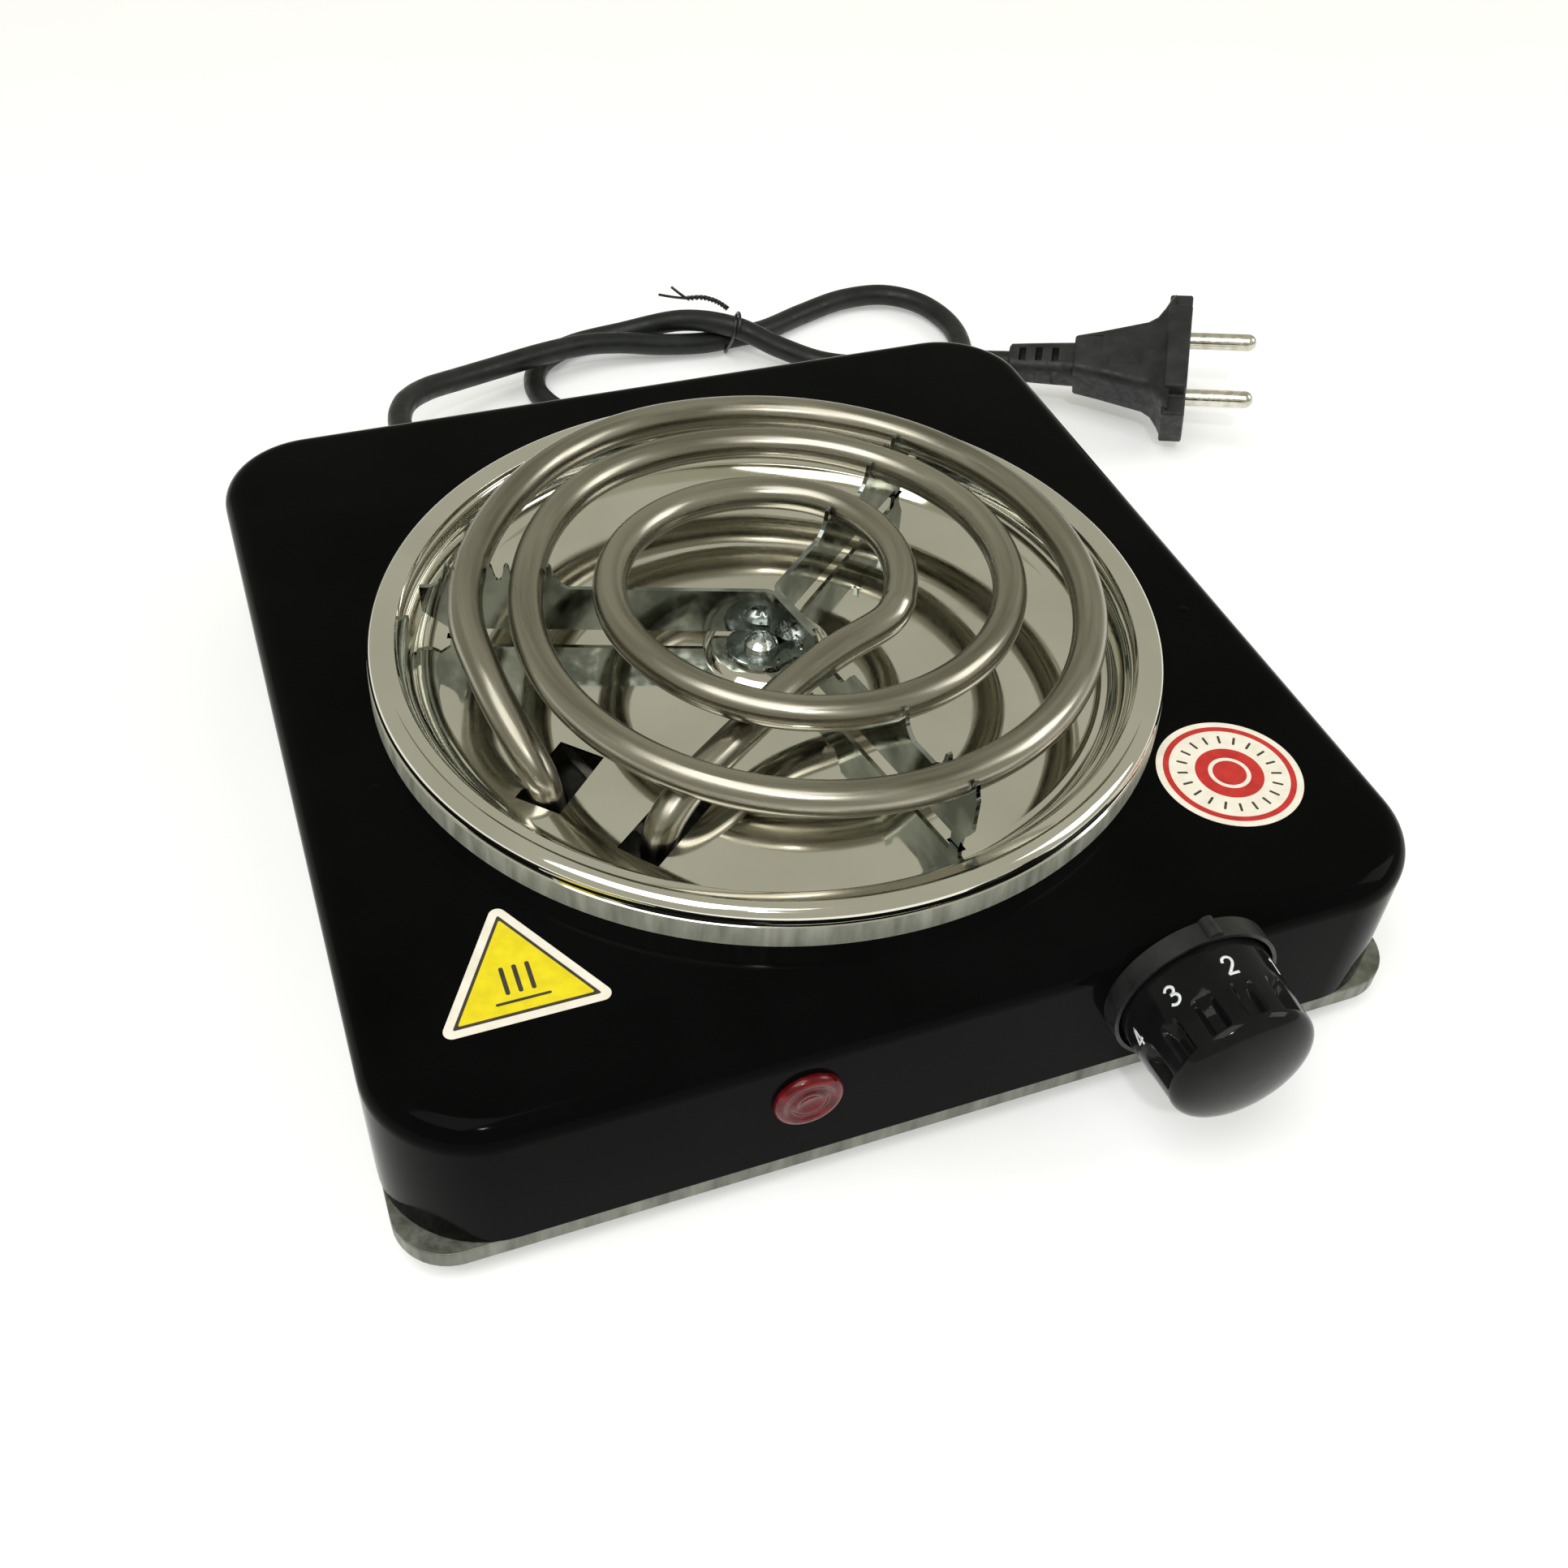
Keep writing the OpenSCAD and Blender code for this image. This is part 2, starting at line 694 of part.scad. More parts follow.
module indicator_lens() {
  color("#8e1216")
    on_front(-lamp_x, lamp_z)
      difference() {
        union() {
          cylinder(r = 6.5, h = 1);
          translate([0, 0, 1]) cylinder(r1 = 6.5, r2 = 5.2, h = 0.8);
          translate([0, 0, -15]) cylinder(r = lamp_body_r, h = 15.1);
        }
        translate([0, 0, -16]) cylinder(r = 3.7, h = 15.5);
      }
}

module indicator_clip() {
  color("#a3a6a8")
    on_front(-lamp_x, lamp_z) translate([0, 0, -1.6]) ring(7.6, lamp_body_r + 0.05, 0.8);
}

module neon_bulb() {
  color("#e7b48c")
    on_front(-lamp_x, lamp_z) {
      translate([0, 0, -12]) cylinder(r = 2.6, h = 7.5);
      translate([0, 0, -4.5]) sphere(r = 2.6);
      for (sx = [-1, 1])
        translate([sx, 0, -17]) cylinder(r = 0.35, h = 5.5);
    }
}

// ---- Mains lead ----

module on_back(y_out) {
  translate([gland_x, back_y + y_out, gland_z]) rotate([-90, 0, 0]) children();
}

// Rubber gland with a tapered, grooved relief outside the wall
module cord_gland() {
  color("#1c1c1d")
    on_back(0)
      difference() {
        rotate_extrude()
          polygon(concat(
            [[cord_r + 0.05, -6], [5.5, -6], [5.5, -sheet], [gland_neck_r, -sheet],
             [gland_neck_r, 0], [6.5, 0], [6.5, 2.5], [5.8, 3.2]],
            [for (i = [0:4]) each [
              [5.6 - 0.3 * i, 5 + 3.8 * i], [4.6 - 0.18 * i, 5.3 + 3.8 * i],
              [4.6 - 0.18 * i, 7 + 3.8 * i], [5.5 - 0.3 * i, 7.3 + 3.8 * i]]],
            [[4, reach], [cord_r + 0.05, reach]]
          ));
      }
}

lead_end = 70;          // inner end of the sheath, from the wall's outer face

module inner_lead() {
  color("#1b1c1d") on_back(-lead_end) cylinder(r = cord_r, h = lead_end + reach);
}

clamp_y = 38;           // clamp, in from the back wall

module cord_clamp() {
  w = 24;
  color("#d8d5cb")
    translate([gland_x - 8, back_y - clamp_y - 4, tray_z + sheet])
      difference() {
        cube([w, 8, gland_z + 5.5 - tray_z - sheet]);
        translate([8, 10, gland_z - tray_z - sheet]) rotate([90, 0, 0])
          cylinder(r = cord_r + 0.05, h = 12);
        translate([18, 4, -1]) cylinder(r = 1.6, h = 30);
      }
}

module clamp_screw() {
  color("#b9bcbe")
    translate([gland_x + 10, back_y - clamp_y, gland_z + 5.5]) {
      translate([0, 0, -14]) cylinder(r = 1.55, h = 14);
      cylinder(r1 = 3, r2 = 2.4, h = 1.8);
    }
}

// Route of the lead on the standing surface, from the gland's tip to the plug
cord_route = [
  [-54, 128.75, 18], [-54, 134, 18], [-53, 141.5, 17.8], [-49.5, 149.5, 17], [-42.5, 157, 15.2],
  [-32.5, 163.5, 12.8], [-20, 169.5, 11], [-6, 174, 10.4], [8, 177.5, 9.4], [20, 178.5, 7.6],
  [32, 178, 5.4], [45, 177, 4.4], [56, 177, 4.8], [67, 179.5, 4.2], [81.5, 186, 3.8],
  [97, 190.5, 4.2], [111, 189, 4.6], [121, 180.5, 4.2], [125, 166, 3.4], [121, 149, 3.2],
  [112, 132, 3.2], [98, 119, 3.2], [81, 112.5, 3.2], [64, 113.5, 3.2], [47, 121, 3.2],
  [25, 133, 3.2], [5, 144, 3.2], [-5.5, 153.5, 3.2], [-9.5, 167, 3.2], [-5, 180, 3.2],
  [6.5, 188, 3.4], [23, 188.5, 5], [40.5, 182.5, 9.8], [54, 172, 11.2], [66, 164, 6.8],
  [78, 156.5, 4], [92, 147.5, 5.6], [106, 138, 10.4], [116, 131, 12.9], [124, 126, 14.2]
];

module power_cord() {
  color("#1b1c1d") sweep(smooth_path(cord_route, 2), cord_r, 8);
}

// The tie is twisted round two strands of the lead, which cross next to it.
tie_low = [54, 177, 4.8];
tie_high = [54, 172, 11.2];
tie_run = [0.93, -0.36, -0.1];
tie_r = 0.5;

module twist_tie() {
  up = unit(tie_high - tie_low);
  side = unit(cross(tie_run, up));
  r = cord_r + tie_r + 0.6;
  loop = [for (a = [0:20:400])
    (cos(a) > 0 ? tie_high : tie_low) + (a - 200) / 300 * tie_run
      + r * (cos(a) * up + sin(a) * side)];
  color("#2a2c2b") {
    sweep(loop, tie_r, 8, tie_run);
    sweep(smooth_path([[53, 176.5, 15.2], [51, 180.5, 15.6], [48, 185, 15], [44.5, 190, 12.6]], 3),
          0.9, 8);
    sweep(smooth_path([[44.5, 190, 12.6], [41, 193, 12], [36.5, 195, 12.8]], 3), tie_r, 8);
  }
}

// The plug lies tilted on the edge of its flange. Its own +X is the pins' direction.
plug_tail = [124, 126, 14.2];
plug_turn = -32;
plug_rise = 7;
plug_roll = 27;
relief_len = 19;
grip_len = 23;
flange_len = 8.5;
flange_w = 40;
flange_t = 24;

module place_plug() {
  translate(plug_tail) rotate([0, 0, plug_turn]) rotate([0, -plug_rise, 0])
    rotate([plug_roll, 0, 0]) children();
}

module plug_slab(x, len, w0, w1, t0, t1) {
  translate([x, 0, 0])
    hull() {
      translate([0.5, 0, 0]) cube([1, w0, t0], center = true);
      translate([len - 0.5, 0, 0]) cube([1, w1, t1], center = true);
    }
}

module plug_body() {
  color("#1f2021")
    place_plug() {
      // Grooved strain relief
      difference() {
        plug_slab(0, relief_len + 1, 10, 11.5, 9.5, 10.5);
        for (i = [0:2])
          translate([4 + i * 4.8, 0, 0]) {
            for (s = [-1, 1]) translate([0, s * 6.4, 0]) cube([2, 3, 20], center = true);
            cube([2, 4.4, 20], center = true);
          }
      }
      // Tapered grip and the flange with its cut-away corners
      plug_slab(relief_len, grip_len, 12, 24, 14.5, 16);
      translate([relief_len + grip_len - 1, 0, 0]) plug_slab(0, 4, 25, 36, 17, 22);
      translate([relief_len + grip_len + 3, 0, 0])
        difference() {
          plug_slab(0, flange_len - 2, flange_w, flange_w, flange_t, flange_t);
          for (sy = [-1, 1], sz = [-1, 1])
            translate([3, sy * flange_w / 2, sz * flange_t / 2])
              cube([12, 13, 9], center = true);
        }
    }
}

module plug_pins() {
  face = relief_len + grip_len + flange_len + 1;
  color("#cfcdbf")
    place_plug()
      for (s = [-1, 1])
        translate([face, s * pin_pitch / 2, 0]) rotate([0, 90, 0]) {
          cylinder(r = pin_d / 2, h = pin_len - pin_d / 2);
          translate([0, 0, pin_len - pin_d / 2]) sphere(r = pin_d / 2);
        }
}

// ---- Wires inside the body ----

wire_r = 1.1;
lamp_wire_r = 0.7;
wire_gap = 0.4;         // between the end of a wire and the face that it meets

module internal_wires() {
  lead = [gland_x, back_y - lead_end - wire_gap, gland_z];
  barrel_z = -seal_h - stem_h - 7;        // wire barrels, from the ends of the tube
  outer = coil_ends[0] + [-8 - wire_gap, 0, barrel_z];
  inner = coil_ends[1] + [-8 - wire_gap, 0, barrel_z];
  outer_tap = coil_ends[0] + [-4 - wire_gap, 0, barrel_z + 4];
  inner_tap = coil_ends[1] + [-4 - wire_gap, 0, barrel_z + 4];
  straight = [-4, 0, 0];
  blades_x = knob_x - blade_left + 1.5;
  barrel_1 = [blades_x, front_y - blade_1_z - blade_t / 2, knob_z - 8 - wire_gap];
  barrel_2 = [blades_x, front_y - blade_2_z - blade_t / 2, knob_z - 8 - wire_gap];
  down = [0, 0, -3];
  bulb = [-lamp_x, front_y + 17 + wire_gap, lamp_z];
  inwards = [0, -4, 0];
  side = [1.6, 0, 0];
  supply = [
    // Neutral, from the lead to the outer end of the coil
    [lead - side, lead - side + inwards, [-60, 15, 14], [-77, -10, 13], [-79, -25, 14],
     outer + straight, outer],
    // Live, from the lead to the first blade
    [lead + side, lead + side + inwards, [-46, 15, 14], [-30, -30, 11], [-8, -70, 10],
     [6, -92, 12], barrel_1 + down, barrel_1],
    // From the second blade to the inner end of the coil
    [barrel_2, barrel_2 + down, [2, -86, 15.5], [-20, -74, 17], [-45, -66, 16], [-57, -56, 15],
     inner + straight, inner]
  ];
  lamp = [
    [bulb - side / 2, bulb - side / 2 - inwards, [-38, -68, 23], [-52, -55, 21],
     inner_tap + straight, inner_tap],
    [bulb + side / 2, bulb + side / 2 - inwards, [-34, -62, 25], [-60, -46, 23],
     [-68, -34, 20], outer_tap + straight, outer_tap]
  ];
  color("#7a4a2a") {
    for (r = supply) sweep(smooth_path(r, 4), wire_r, 8, [0.3, 0.2, 1]);
    for (r = lamp) sweep(smooth_path(r, 3), lamp_wire_r, 6, [0.3, 0.2, 1]);
  }
}

// ---- Labels ----

label_t = 0.2;

module surface_label() {
  side = 31.5;
  r = 1.6;
  color("#e8c91c")
    translate([-72.6, -74.6, top_z])
      hull()
        for (a = [90, 210, 330])
          rotate([0, 0, a]) translate([side / sqrt(3) - 2 * r, 0, 0])
            cylinder(r = r, h = label_t, $fn = hull_fn);
}

module round_label() {
  color("#efe9d8") translate([73.9, -68.4, top_z]) cylinder(r = 14.7, h = label_t, $fn = 96);
}

top_cover();
base_tray();
cover_hangers();
base_screws();
rubber_feet();
foot_screws();
drip_pan();
pan_bridge();
heating_coil();
coil_support_main();
coil_support_arm();
centre_screw();
centre_nut();
coil_end_seals();
coil_terminal_pins();
push_on_terminals();
knob_bezel();
control_knob();
knob_spindle();
thermostat_bush();
bush_nut();
thermostat_bracket();
ceramic_insulators();
contact_blades();
contact_buttons();
bimetal_strip();
stack_rivet();
adjuster_pin();
indicator_lens();
indicator_clip();
neon_bulb();
cord_gland();
inner_lead();
cord_clamp();
clamp_screw();
internal_wires();
power_cord();
twist_tie();
plug_body();
plug_pins();
surface_label();
round_label();
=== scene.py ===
"""Looks of a single-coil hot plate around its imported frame. Metres, +Z up, front towards -Y."""

import json
import math

import bmesh
import bpy
from mathutils import Matrix, Vector


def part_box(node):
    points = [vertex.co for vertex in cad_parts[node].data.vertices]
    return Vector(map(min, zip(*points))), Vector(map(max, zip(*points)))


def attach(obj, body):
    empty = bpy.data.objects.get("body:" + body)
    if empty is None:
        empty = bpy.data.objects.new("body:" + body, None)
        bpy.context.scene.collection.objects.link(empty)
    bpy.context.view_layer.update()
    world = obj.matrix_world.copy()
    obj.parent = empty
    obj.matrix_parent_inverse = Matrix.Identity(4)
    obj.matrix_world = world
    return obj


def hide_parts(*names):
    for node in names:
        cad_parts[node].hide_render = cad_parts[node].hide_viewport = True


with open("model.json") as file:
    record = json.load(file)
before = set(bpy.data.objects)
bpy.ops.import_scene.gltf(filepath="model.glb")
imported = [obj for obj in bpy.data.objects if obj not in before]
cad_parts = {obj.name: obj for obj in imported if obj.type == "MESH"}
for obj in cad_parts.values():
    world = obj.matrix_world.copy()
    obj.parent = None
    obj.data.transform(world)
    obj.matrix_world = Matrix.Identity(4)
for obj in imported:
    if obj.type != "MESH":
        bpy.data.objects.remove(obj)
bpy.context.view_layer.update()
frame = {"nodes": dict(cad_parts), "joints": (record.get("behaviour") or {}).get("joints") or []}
MM = 0.001
ROOT = "root"
KNOB = "knob"

# ---- Places, from the frame ----

COVER_LOW, COVER_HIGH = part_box("top_cover")
TOP_Z = COVER_HIGH.z
FRONT_Y = COVER_LOW.y
KNOB_JOINT = next(j for j in frame["joints"] if j["name"] == "knob_turn")
KNOB_X = KNOB_JOINT["pos_m"][0]
KNOB_Z = KNOB_JOINT["pos_m"][2]
PAN_AXIS = Vector((-0.6, -3.4, 0)) * MM + Vector((0, 0, TOP_Z))
COIL_RISE = 15.1
TUBE_R = 3.55
CORD_D = 6.4


# ---- Camera and stage ----


# Solved from the reference view: metres and radians
CAMERA_AT = Vector((-0.1014, -0.2527, 0.2689))
CAMERA_TURN = (0.4045, 0.7864, 0.0675)
CAMERA_LENS = 37.86
SURROUND = (0.4, 0.395, 0.325, 1)
SURROUND_STRENGTH = 1.2


def make_camera():
    """A camera at the angle of the reference view."""
    yaw, pitch, roll = CAMERA_TURN
    forward = Vector((math.sin(yaw) * math.cos(pitch), math.cos(yaw) * math.cos(pitch), -math.sin(pitch)))
    right = forward.cross(Vector((0, 0, 1))).normalized()
    up = right.cross(forward)
    rolled_right = math.cos(roll) * right + math.sin(roll) * up
    rolled_up = -math.sin(roll) * right + math.cos(roll) * up
    data = bpy.data.cameras.new("camera")
    data.lens = CAMERA_LENS
    data.sensor_width = 36
    data.clip_start = 0.01
    camera = linked("camera", data)
    axes = Matrix((rolled_right, rolled_up, -forward)).transposed()
    camera.matrix_world = Matrix.Translation(CAMERA_AT) @ axes.to_4x4()
    bpy.context.scene.camera = camera


def area_light(name, place, target, size, power):
    """A square soft light that shines from place to target."""
    data = bpy.data.lights.new(name, "AREA")
    data.size = size
    data.energy = power
    light = linked(name, data)
    light.location = place
    light.rotation_euler = (Vector(target) - Vector(place)).to_track_quat("-Z", "Y").to_euler()


def make_stage():
    """A pale floor, a dim warm surround and soft lights."""
    floor = new_piece("floor", [(-3, -3, 0), (3, -3, 0), (3, 3, 0), (-3, 3, 0)], [(0, 1, 2, 3)])
    floor.data.materials.append(floor_paper())
    world = bpy.data.worlds.new("surround")
    bpy.context.scene.world = world
    world.use_nodes = True
    background = world.node_tree.nodes["Background"]
    background.inputs["Color"].default_value = SURROUND
    background.inputs["Strength"].default_value = SURROUND_STRENGTH
    area_light("key", (-0.5, -0.3, 1.3), (0, 0, 0), 0.9, 9)
    area_light("side", (1.1, -0.3, 0.8), (0, 0, 0), 0.6, 4)
    area_light("spark", (-0.25, -0.7, 0.9), (0, 0, 0.04), 0.055, 2.4)
    bpy.context.scene.view_settings.view_transform = "Standard"


# ---- Mesh helpers ----

# Points nearer than this in metres are one, and faces within this angle are flat, in a refined node
WELD_GAP = 2e-6
FLAT_ANGLE = math.radians(0.6)


def linked(name, data):
    """An object in the scene that shows the data."""
    thing = bpy.data.objects.new(name, data)
    bpy.context.scene.collection.objects.link(thing)
    return thing


def new_piece(name, verts, faces, uvs=None):
    """A mesh object in the scene, with outward normals and one UV per face corner."""
    mesh = bpy.data.meshes.new(name)
    mesh.from_pydata([tuple(v) for v in verts], [], [tuple(f) for f in faces])
    if uvs:
        layer = mesh.uv_layers.new(name="surface")
        for place, uv in zip(layer.data, uvs):
            place.uv = uv
    shape = bmesh.new()
    shape.from_mesh(mesh)
    bmesh.ops.recalc_face_normals(shape, faces=shape.faces)
    shape.to_mesh(mesh)
    shape.free()
    return linked(name, mesh)


def loft(name, rings, loop=False):
    """A mesh through rings of points. Its UV is in metres, u round the rings and v along them."""
    count = len(rings[0])
    widest = max(rings, key=lambda ring: (ring[0] - ring[count // 2]).length)
    around = sum((widest[k] - widest[k - 1]).length for k in range(count))
    u = [around * k / count for k in range(count + 1)]
    v = [0.0]
    for i in range(len(rings)):
        v.append(v[-1] + (rings[(i + 1) % len(rings)][0] - rings[i][0]).length)
    faces = []
    uvs = []
    for i in range(len(rings) if loop else len(rings) - 1):
        j = (i + 1) % len(rings)
        for k in range(count):
            m = (k + 1) % count
            faces.append((i * count + k, i * count + m, j * count + m, j * count + k))
            uvs += [(u[k], v[i]), (u[k + 1], v[i]), (u[k + 1], v[i + 1]), (u[k], v[i + 1])]
    if not loop:
        last = (len(rings) - 1) * count
        faces += [tuple(range(count))[::-1], tuple(range(last, last + count))]
        uvs += [(0, 0)] * (2 * count)
    return new_piece(name, [p for ring in rings for p in ring], faces, uvs)


def full_turn(steps):
    """Angles of one turn, in radians."""
    return [2 * math.pi * k / steps for k in range(steps)]


def round_point(place, radius, angle, height):
    """A point at a radius and an angle round the Z axis of place, lengths in mm."""
    return place @ (Vector((radius * math.cos(angle), radius * math.sin(angle), height)) * MM)


def circle(place, radius, height, steps):
    """A ring of points round the Z axis of place."""
    return [round_point(place, radius, angle, height) for angle in full_turn(steps)]


def lathe(name, outline, steps, place, closed=False):
    """An outline of (radius, height) in mm turned round the Z axis of place."""
    return loft(name, [circle(place, radius, height, steps) for radius, height in outline], loop=closed)


def shift(x=0, y=0, z=0):
    """A move in mm."""
    return Matrix.Translation(Vector((x, y, z)) * MM)


def arc(x, y, radius, start, end, steps=8):
    """Points of an arc in a plane, angles in degrees."""
    turn = [math.radians(start + (end - start) * i / steps) for i in range(steps + 1)]
    return [(x + radius * math.cos(a), y + radius * math.sin(a)) for a in turn]


def blend_point(a, b, c, d, t):
    """A point between b and c on the smooth curve with neighbours a and d."""
    straight = b + (c - a) * (t / 2)
    square = (a - b * 2.5 + c * 2 - d * 0.5) * (t * t)
    return straight + square + (b * 1.5 - c * 1.5 + d * 0.5 - a * 0.5) * t**3


def smooth_path(points, steps):
    """A smooth curve through the points, each stretch cut in steps."""
    p = [Vector(q) for q in points]
    last = len(p) - 1
    path = []
    for i in range(last):
        for k in range(steps):
            path.append(blend_point(p[max(i - 1, 0)], p[i], p[i + 1], p[min(i + 2, last)], k / steps))
    return path + [p[last]]


def tube(name, path, radius, sides, start=(0, 0, 1)):
    """A round tube along a path, in mm. Start is the first normal's rough direction."""
    last = len(path) - 1
    normal = Vector(start)
    rings = []
    for i, p in enumerate(path):
        ahead = (path[min(i + 1, last)] - path[max(i - 1, 0)]).normalized()
        normal = (normal - ahead * normal.dot(ahead)).normalized()
        across = ahead.cross(normal)
        spokes = [normal * math.cos(a) + across * math.sin(a) for a in full_turn(sides)]
        rings.append([(p + spoke * radius) * MM for spoke in spokes])
    return loft(name, rings)


def box_cutter(size, place):
    """A box of that size in mm, centred on place, to cut with."""
    x, y, z = (s / 2 * MM for s in size)
    corners = [place @ Vector((i * x, j * y, k * z)) for i in (-1, 1) for j in (-1, 1) for k in (-1, 1)]
    faces = [(0, 1, 3, 2), (4, 6, 7, 5), (0, 4, 5, 1), (2, 3, 7, 6), (0, 2, 6, 4), (1, 5, 7, 3)]
    return new_piece("cutter", corners, faces)


def rod_cutter(radius, length, place):
    """A rod along the Z axis of place, centred on it, to cut with."""
    return lathe("cutter", [(radius, -length / 2), (radius, length / 2)], 48, place)


def settle(piece):
    """Turns the piece's modifiers into its mesh."""
    graph = bpy.context.evaluated_depsgraph_get()
    mesh = bpy.data.meshes.new_from_object(piece.evaluated_get(graph))
    piece.modifiers.clear()
    piece.data = mesh


def cut(piece, cutters):
    """Takes the cutters out of the piece."""
    for cutter in cutters:
        change = piece.modifiers.new("cut", "BOOLEAN")
        change.object = cutter
        change.solver = "EXACT"
    settle(piece)
    for cutter in cutters:
        bpy.data.objects.remove(cutter)


def soften(piece, width, sharp=30, segments=2):
    """Rounds the piece's sharp edges. Width is in mm."""
    change = piece.modifiers.new("edges", "BEVEL")
    change.width = width * MM
    change.segments = segments
    change.limit_method = "ANGLE"
    change.angle_limit = math.radians(sharp)
    change.miter_outer = "MITER_ARC"


def dress(piece, body, slot, *materials, stands_for=(), sharp=40):
    """Gives a piece its materials and shading, and puts it on its body."""
    for material in materials:
        piece.data.materials.append(material)
    piece.data.shade_smooth()
    piece.data.set_sharp_from_angle(angle=math.radians(sharp))
    shading = piece.modifiers.new("shading", "WEIGHTED_NORMAL")
    shading.keep_sharp = True
    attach(piece, body)
    if stands_for:
        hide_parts(*stands_for)
    return piece


def refined(node, name, edge):
    """A copy of a CAD node with welded faces and small rounded edges, which stands for the node."""
    shape = bmesh.new()
    shape.from_mesh(frame["nodes"][node].data)
    bmesh.ops.remove_doubles(shape, verts=shape.verts, dist=WELD_GAP)
    bmesh.ops.dissolve_limit(shape, angle_limit=FLAT_ANGLE, verts=shape.verts, edges=shape.edges)
    bmesh.ops.recalc_face_normals(shape, faces=shape.faces)
    mesh = bpy.data.meshes.new(name)
    shape.to_mesh(mesh)
    shape.free()
    piece = linked(name, mesh)
    soften(piece, edge)
    slot, finish = NODE_FINISH[node]
    return dress(piece, ROOT, slot, finish(), stands_for=[node])


# ---- Materials ----


class Finish:
    """A node material on one shader. Its methods add the detail, from the object's own coordinates."""

    def __init__(self, name, metallic=0.0, roughness=0.4, uv=False):
        self.material = bpy.data.materials.new(name)
        self.material.use_nodes = True
        self.nodes = self.material.node_tree.nodes
        self.links = self.material.node_tree.links
        self.shader = self.nodes["Principled BSDF"]
        self.shader.inputs["Metallic"].default_value = metallic
        self.shader.inputs["Roughness"].default_value = roughness
        places = self.nodes.new("ShaderNodeTexCoord")
        self.places = places.outputs["UV" if uv else "Object"]
        self.bumps = None

    def set(self, socket, value):
        """Puts a value on the shader's own socket."""
        self.shader.inputs[socket].default_value = value

    def noise(self, size, stretch=(1, 1, 1), detail=4):
        """Cloudy detail about size mm across, drawn out by stretch."""
        mapping = self.nodes.new("ShaderNodeMapping")
        mapping.inputs["Scale"].default_value = [1 / s for s in stretch]
        self.links.new(self.places, mapping.inputs["Vector"])
        cloud = self.nodes.new("ShaderNodeTexNoise")
        cloud.inputs["Scale"].default_value = 1 / (size * MM)
        cloud.inputs["Detail"].default_value = detail
        self.links.new(mapping.outputs["Vector"], cloud.inputs["Vector"])
        return cloud.outputs["Fac"]

    def cells(self, size):
        """Flat crystal patches about size mm across."""
        cell = self.nodes.new("ShaderNodeTexVoronoi")
        cell.inputs["Scale"].default_value = 1 / (size * MM)
        self.links.new(self.places, cell.inputs["Vector"])
        value = self.nodes.new("ShaderNodeSeparateColor")
        self.links.new(cell.outputs["Color"], value.inputs["Color"])
        return value.outputs["Red"]

    def ramp(self, factor, stops):
        """A colour ramp between two stops. Each stop is a place and a colour or a grey."""
        ramp = self.nodes.new("ShaderNodeValToRGB")
        for mark, (place, colour) in zip(ramp.color_ramp.elements, stops):
            mark.position = place
            mark.color = (*colour, 1) if isinstance(colour, tuple) else (colour, colour, colour, 1)
        self.links.new(factor, ramp.inputs["Fac"])
        return ramp.outputs["Color"]

    def colour(self, factor, dark, light, low=0.35, high=0.65):
        """Base colour from dark to light as the factor goes from low to high."""
        self.links.new(self.ramp(factor, [(low, dark), (high, light)]), self.shader.inputs["Base Color"])

    def roughness(self, factor, smooth, rough, low=0.35, high=0.65):
        """Roughness from smooth to rough as the factor goes from low to high."""
        self.links.new(self.ramp(factor, [(low, smooth), (high, rough)]), self.shader.inputs["Roughness"])

    def bump(self, factor, height):
        """Relief of that height in mm. Several bumps add up."""
        bump = self.nodes.new("ShaderNodeBump")
        bump.inputs["Distance"].default_value = height * MM
        bump.inputs["Strength"].default_value = 1.0
        self.links.new(factor, bump.inputs["Height"])
        if self.bumps:
            self.links.new(self.bumps, bump.inputs["Normal"])
        self.bumps = bump.outputs["Normal"]
        self.links.new(self.bumps, self.shader.inputs["Normal"])


def surface(**options):
    """Turns a function that adds detail to a Finish into one that gives its material, made once."""

    def wrap(add_detail):
        made = []

        def get():
            if not made:
                finish = Finish(add_detail.__name__, **options)
                add_detail(finish)
                made.append(finish.material)
            return made[0]

        return get

    return wrap


@surface(roughness=0.7)
def floor_paper(f):
    f.set("Emission Color", (1, 1, 0.99, 1))
    f.set("Emission Strength", 0.24)
    f.colour(f.noise(60, detail=2), (0.875, 0.875, 0.905), (0.885, 0.885, 0.915))


@surface()
def enamel(f):
    f.set("Specular IOR Level", 0.02)
    f.colour(f.noise(40), (0.0018, 0.0018, 0.0019), (0.003, 0.003, 0.0032))
    f.roughness(f.noise(14, detail=6), 0.06, 0.15)
    f.bump(f.noise(2.2, detail=1), 0.004)
    f.bump(f.noise(26, detail=1), 0.03)


@surface(metallic=0.7)
def galvanised(f):
    f.colour(f.noise(4, (1, 1, 6), detail=8), (0.1, 0.103, 0.085), (0.27, 0.275, 0.235), 0.3, 0.7)
    f.roughness(f.noise(1.6, (1, 1, 5)), 0.34, 0.6)
    f.bump(f.noise(0.9, (1, 1, 9), detail=5), 0.04)
    f.bump(f.noise(7), 0.06)


@surface(metallic=0.9)
def bracket_zinc(f):
    f.colour(f.cells(3), (0.4, 0.41, 0.42), (0.58, 0.59, 0.6), 0, 1)
    f.roughness(f.noise(3), 0.28, 0.5)
    f.bump(f.noise(1.2), 0.015)


@surface(metallic=1)
def screw_steel(f):
    f.colour(f.noise(1.6), (0.4, 0.4, 0.39), (0.66, 0.66, 0.65))
    f.roughness(f.noise(0.8), 0.22, 0.42)
    f.bump(f.noise(0.5), 0.01)


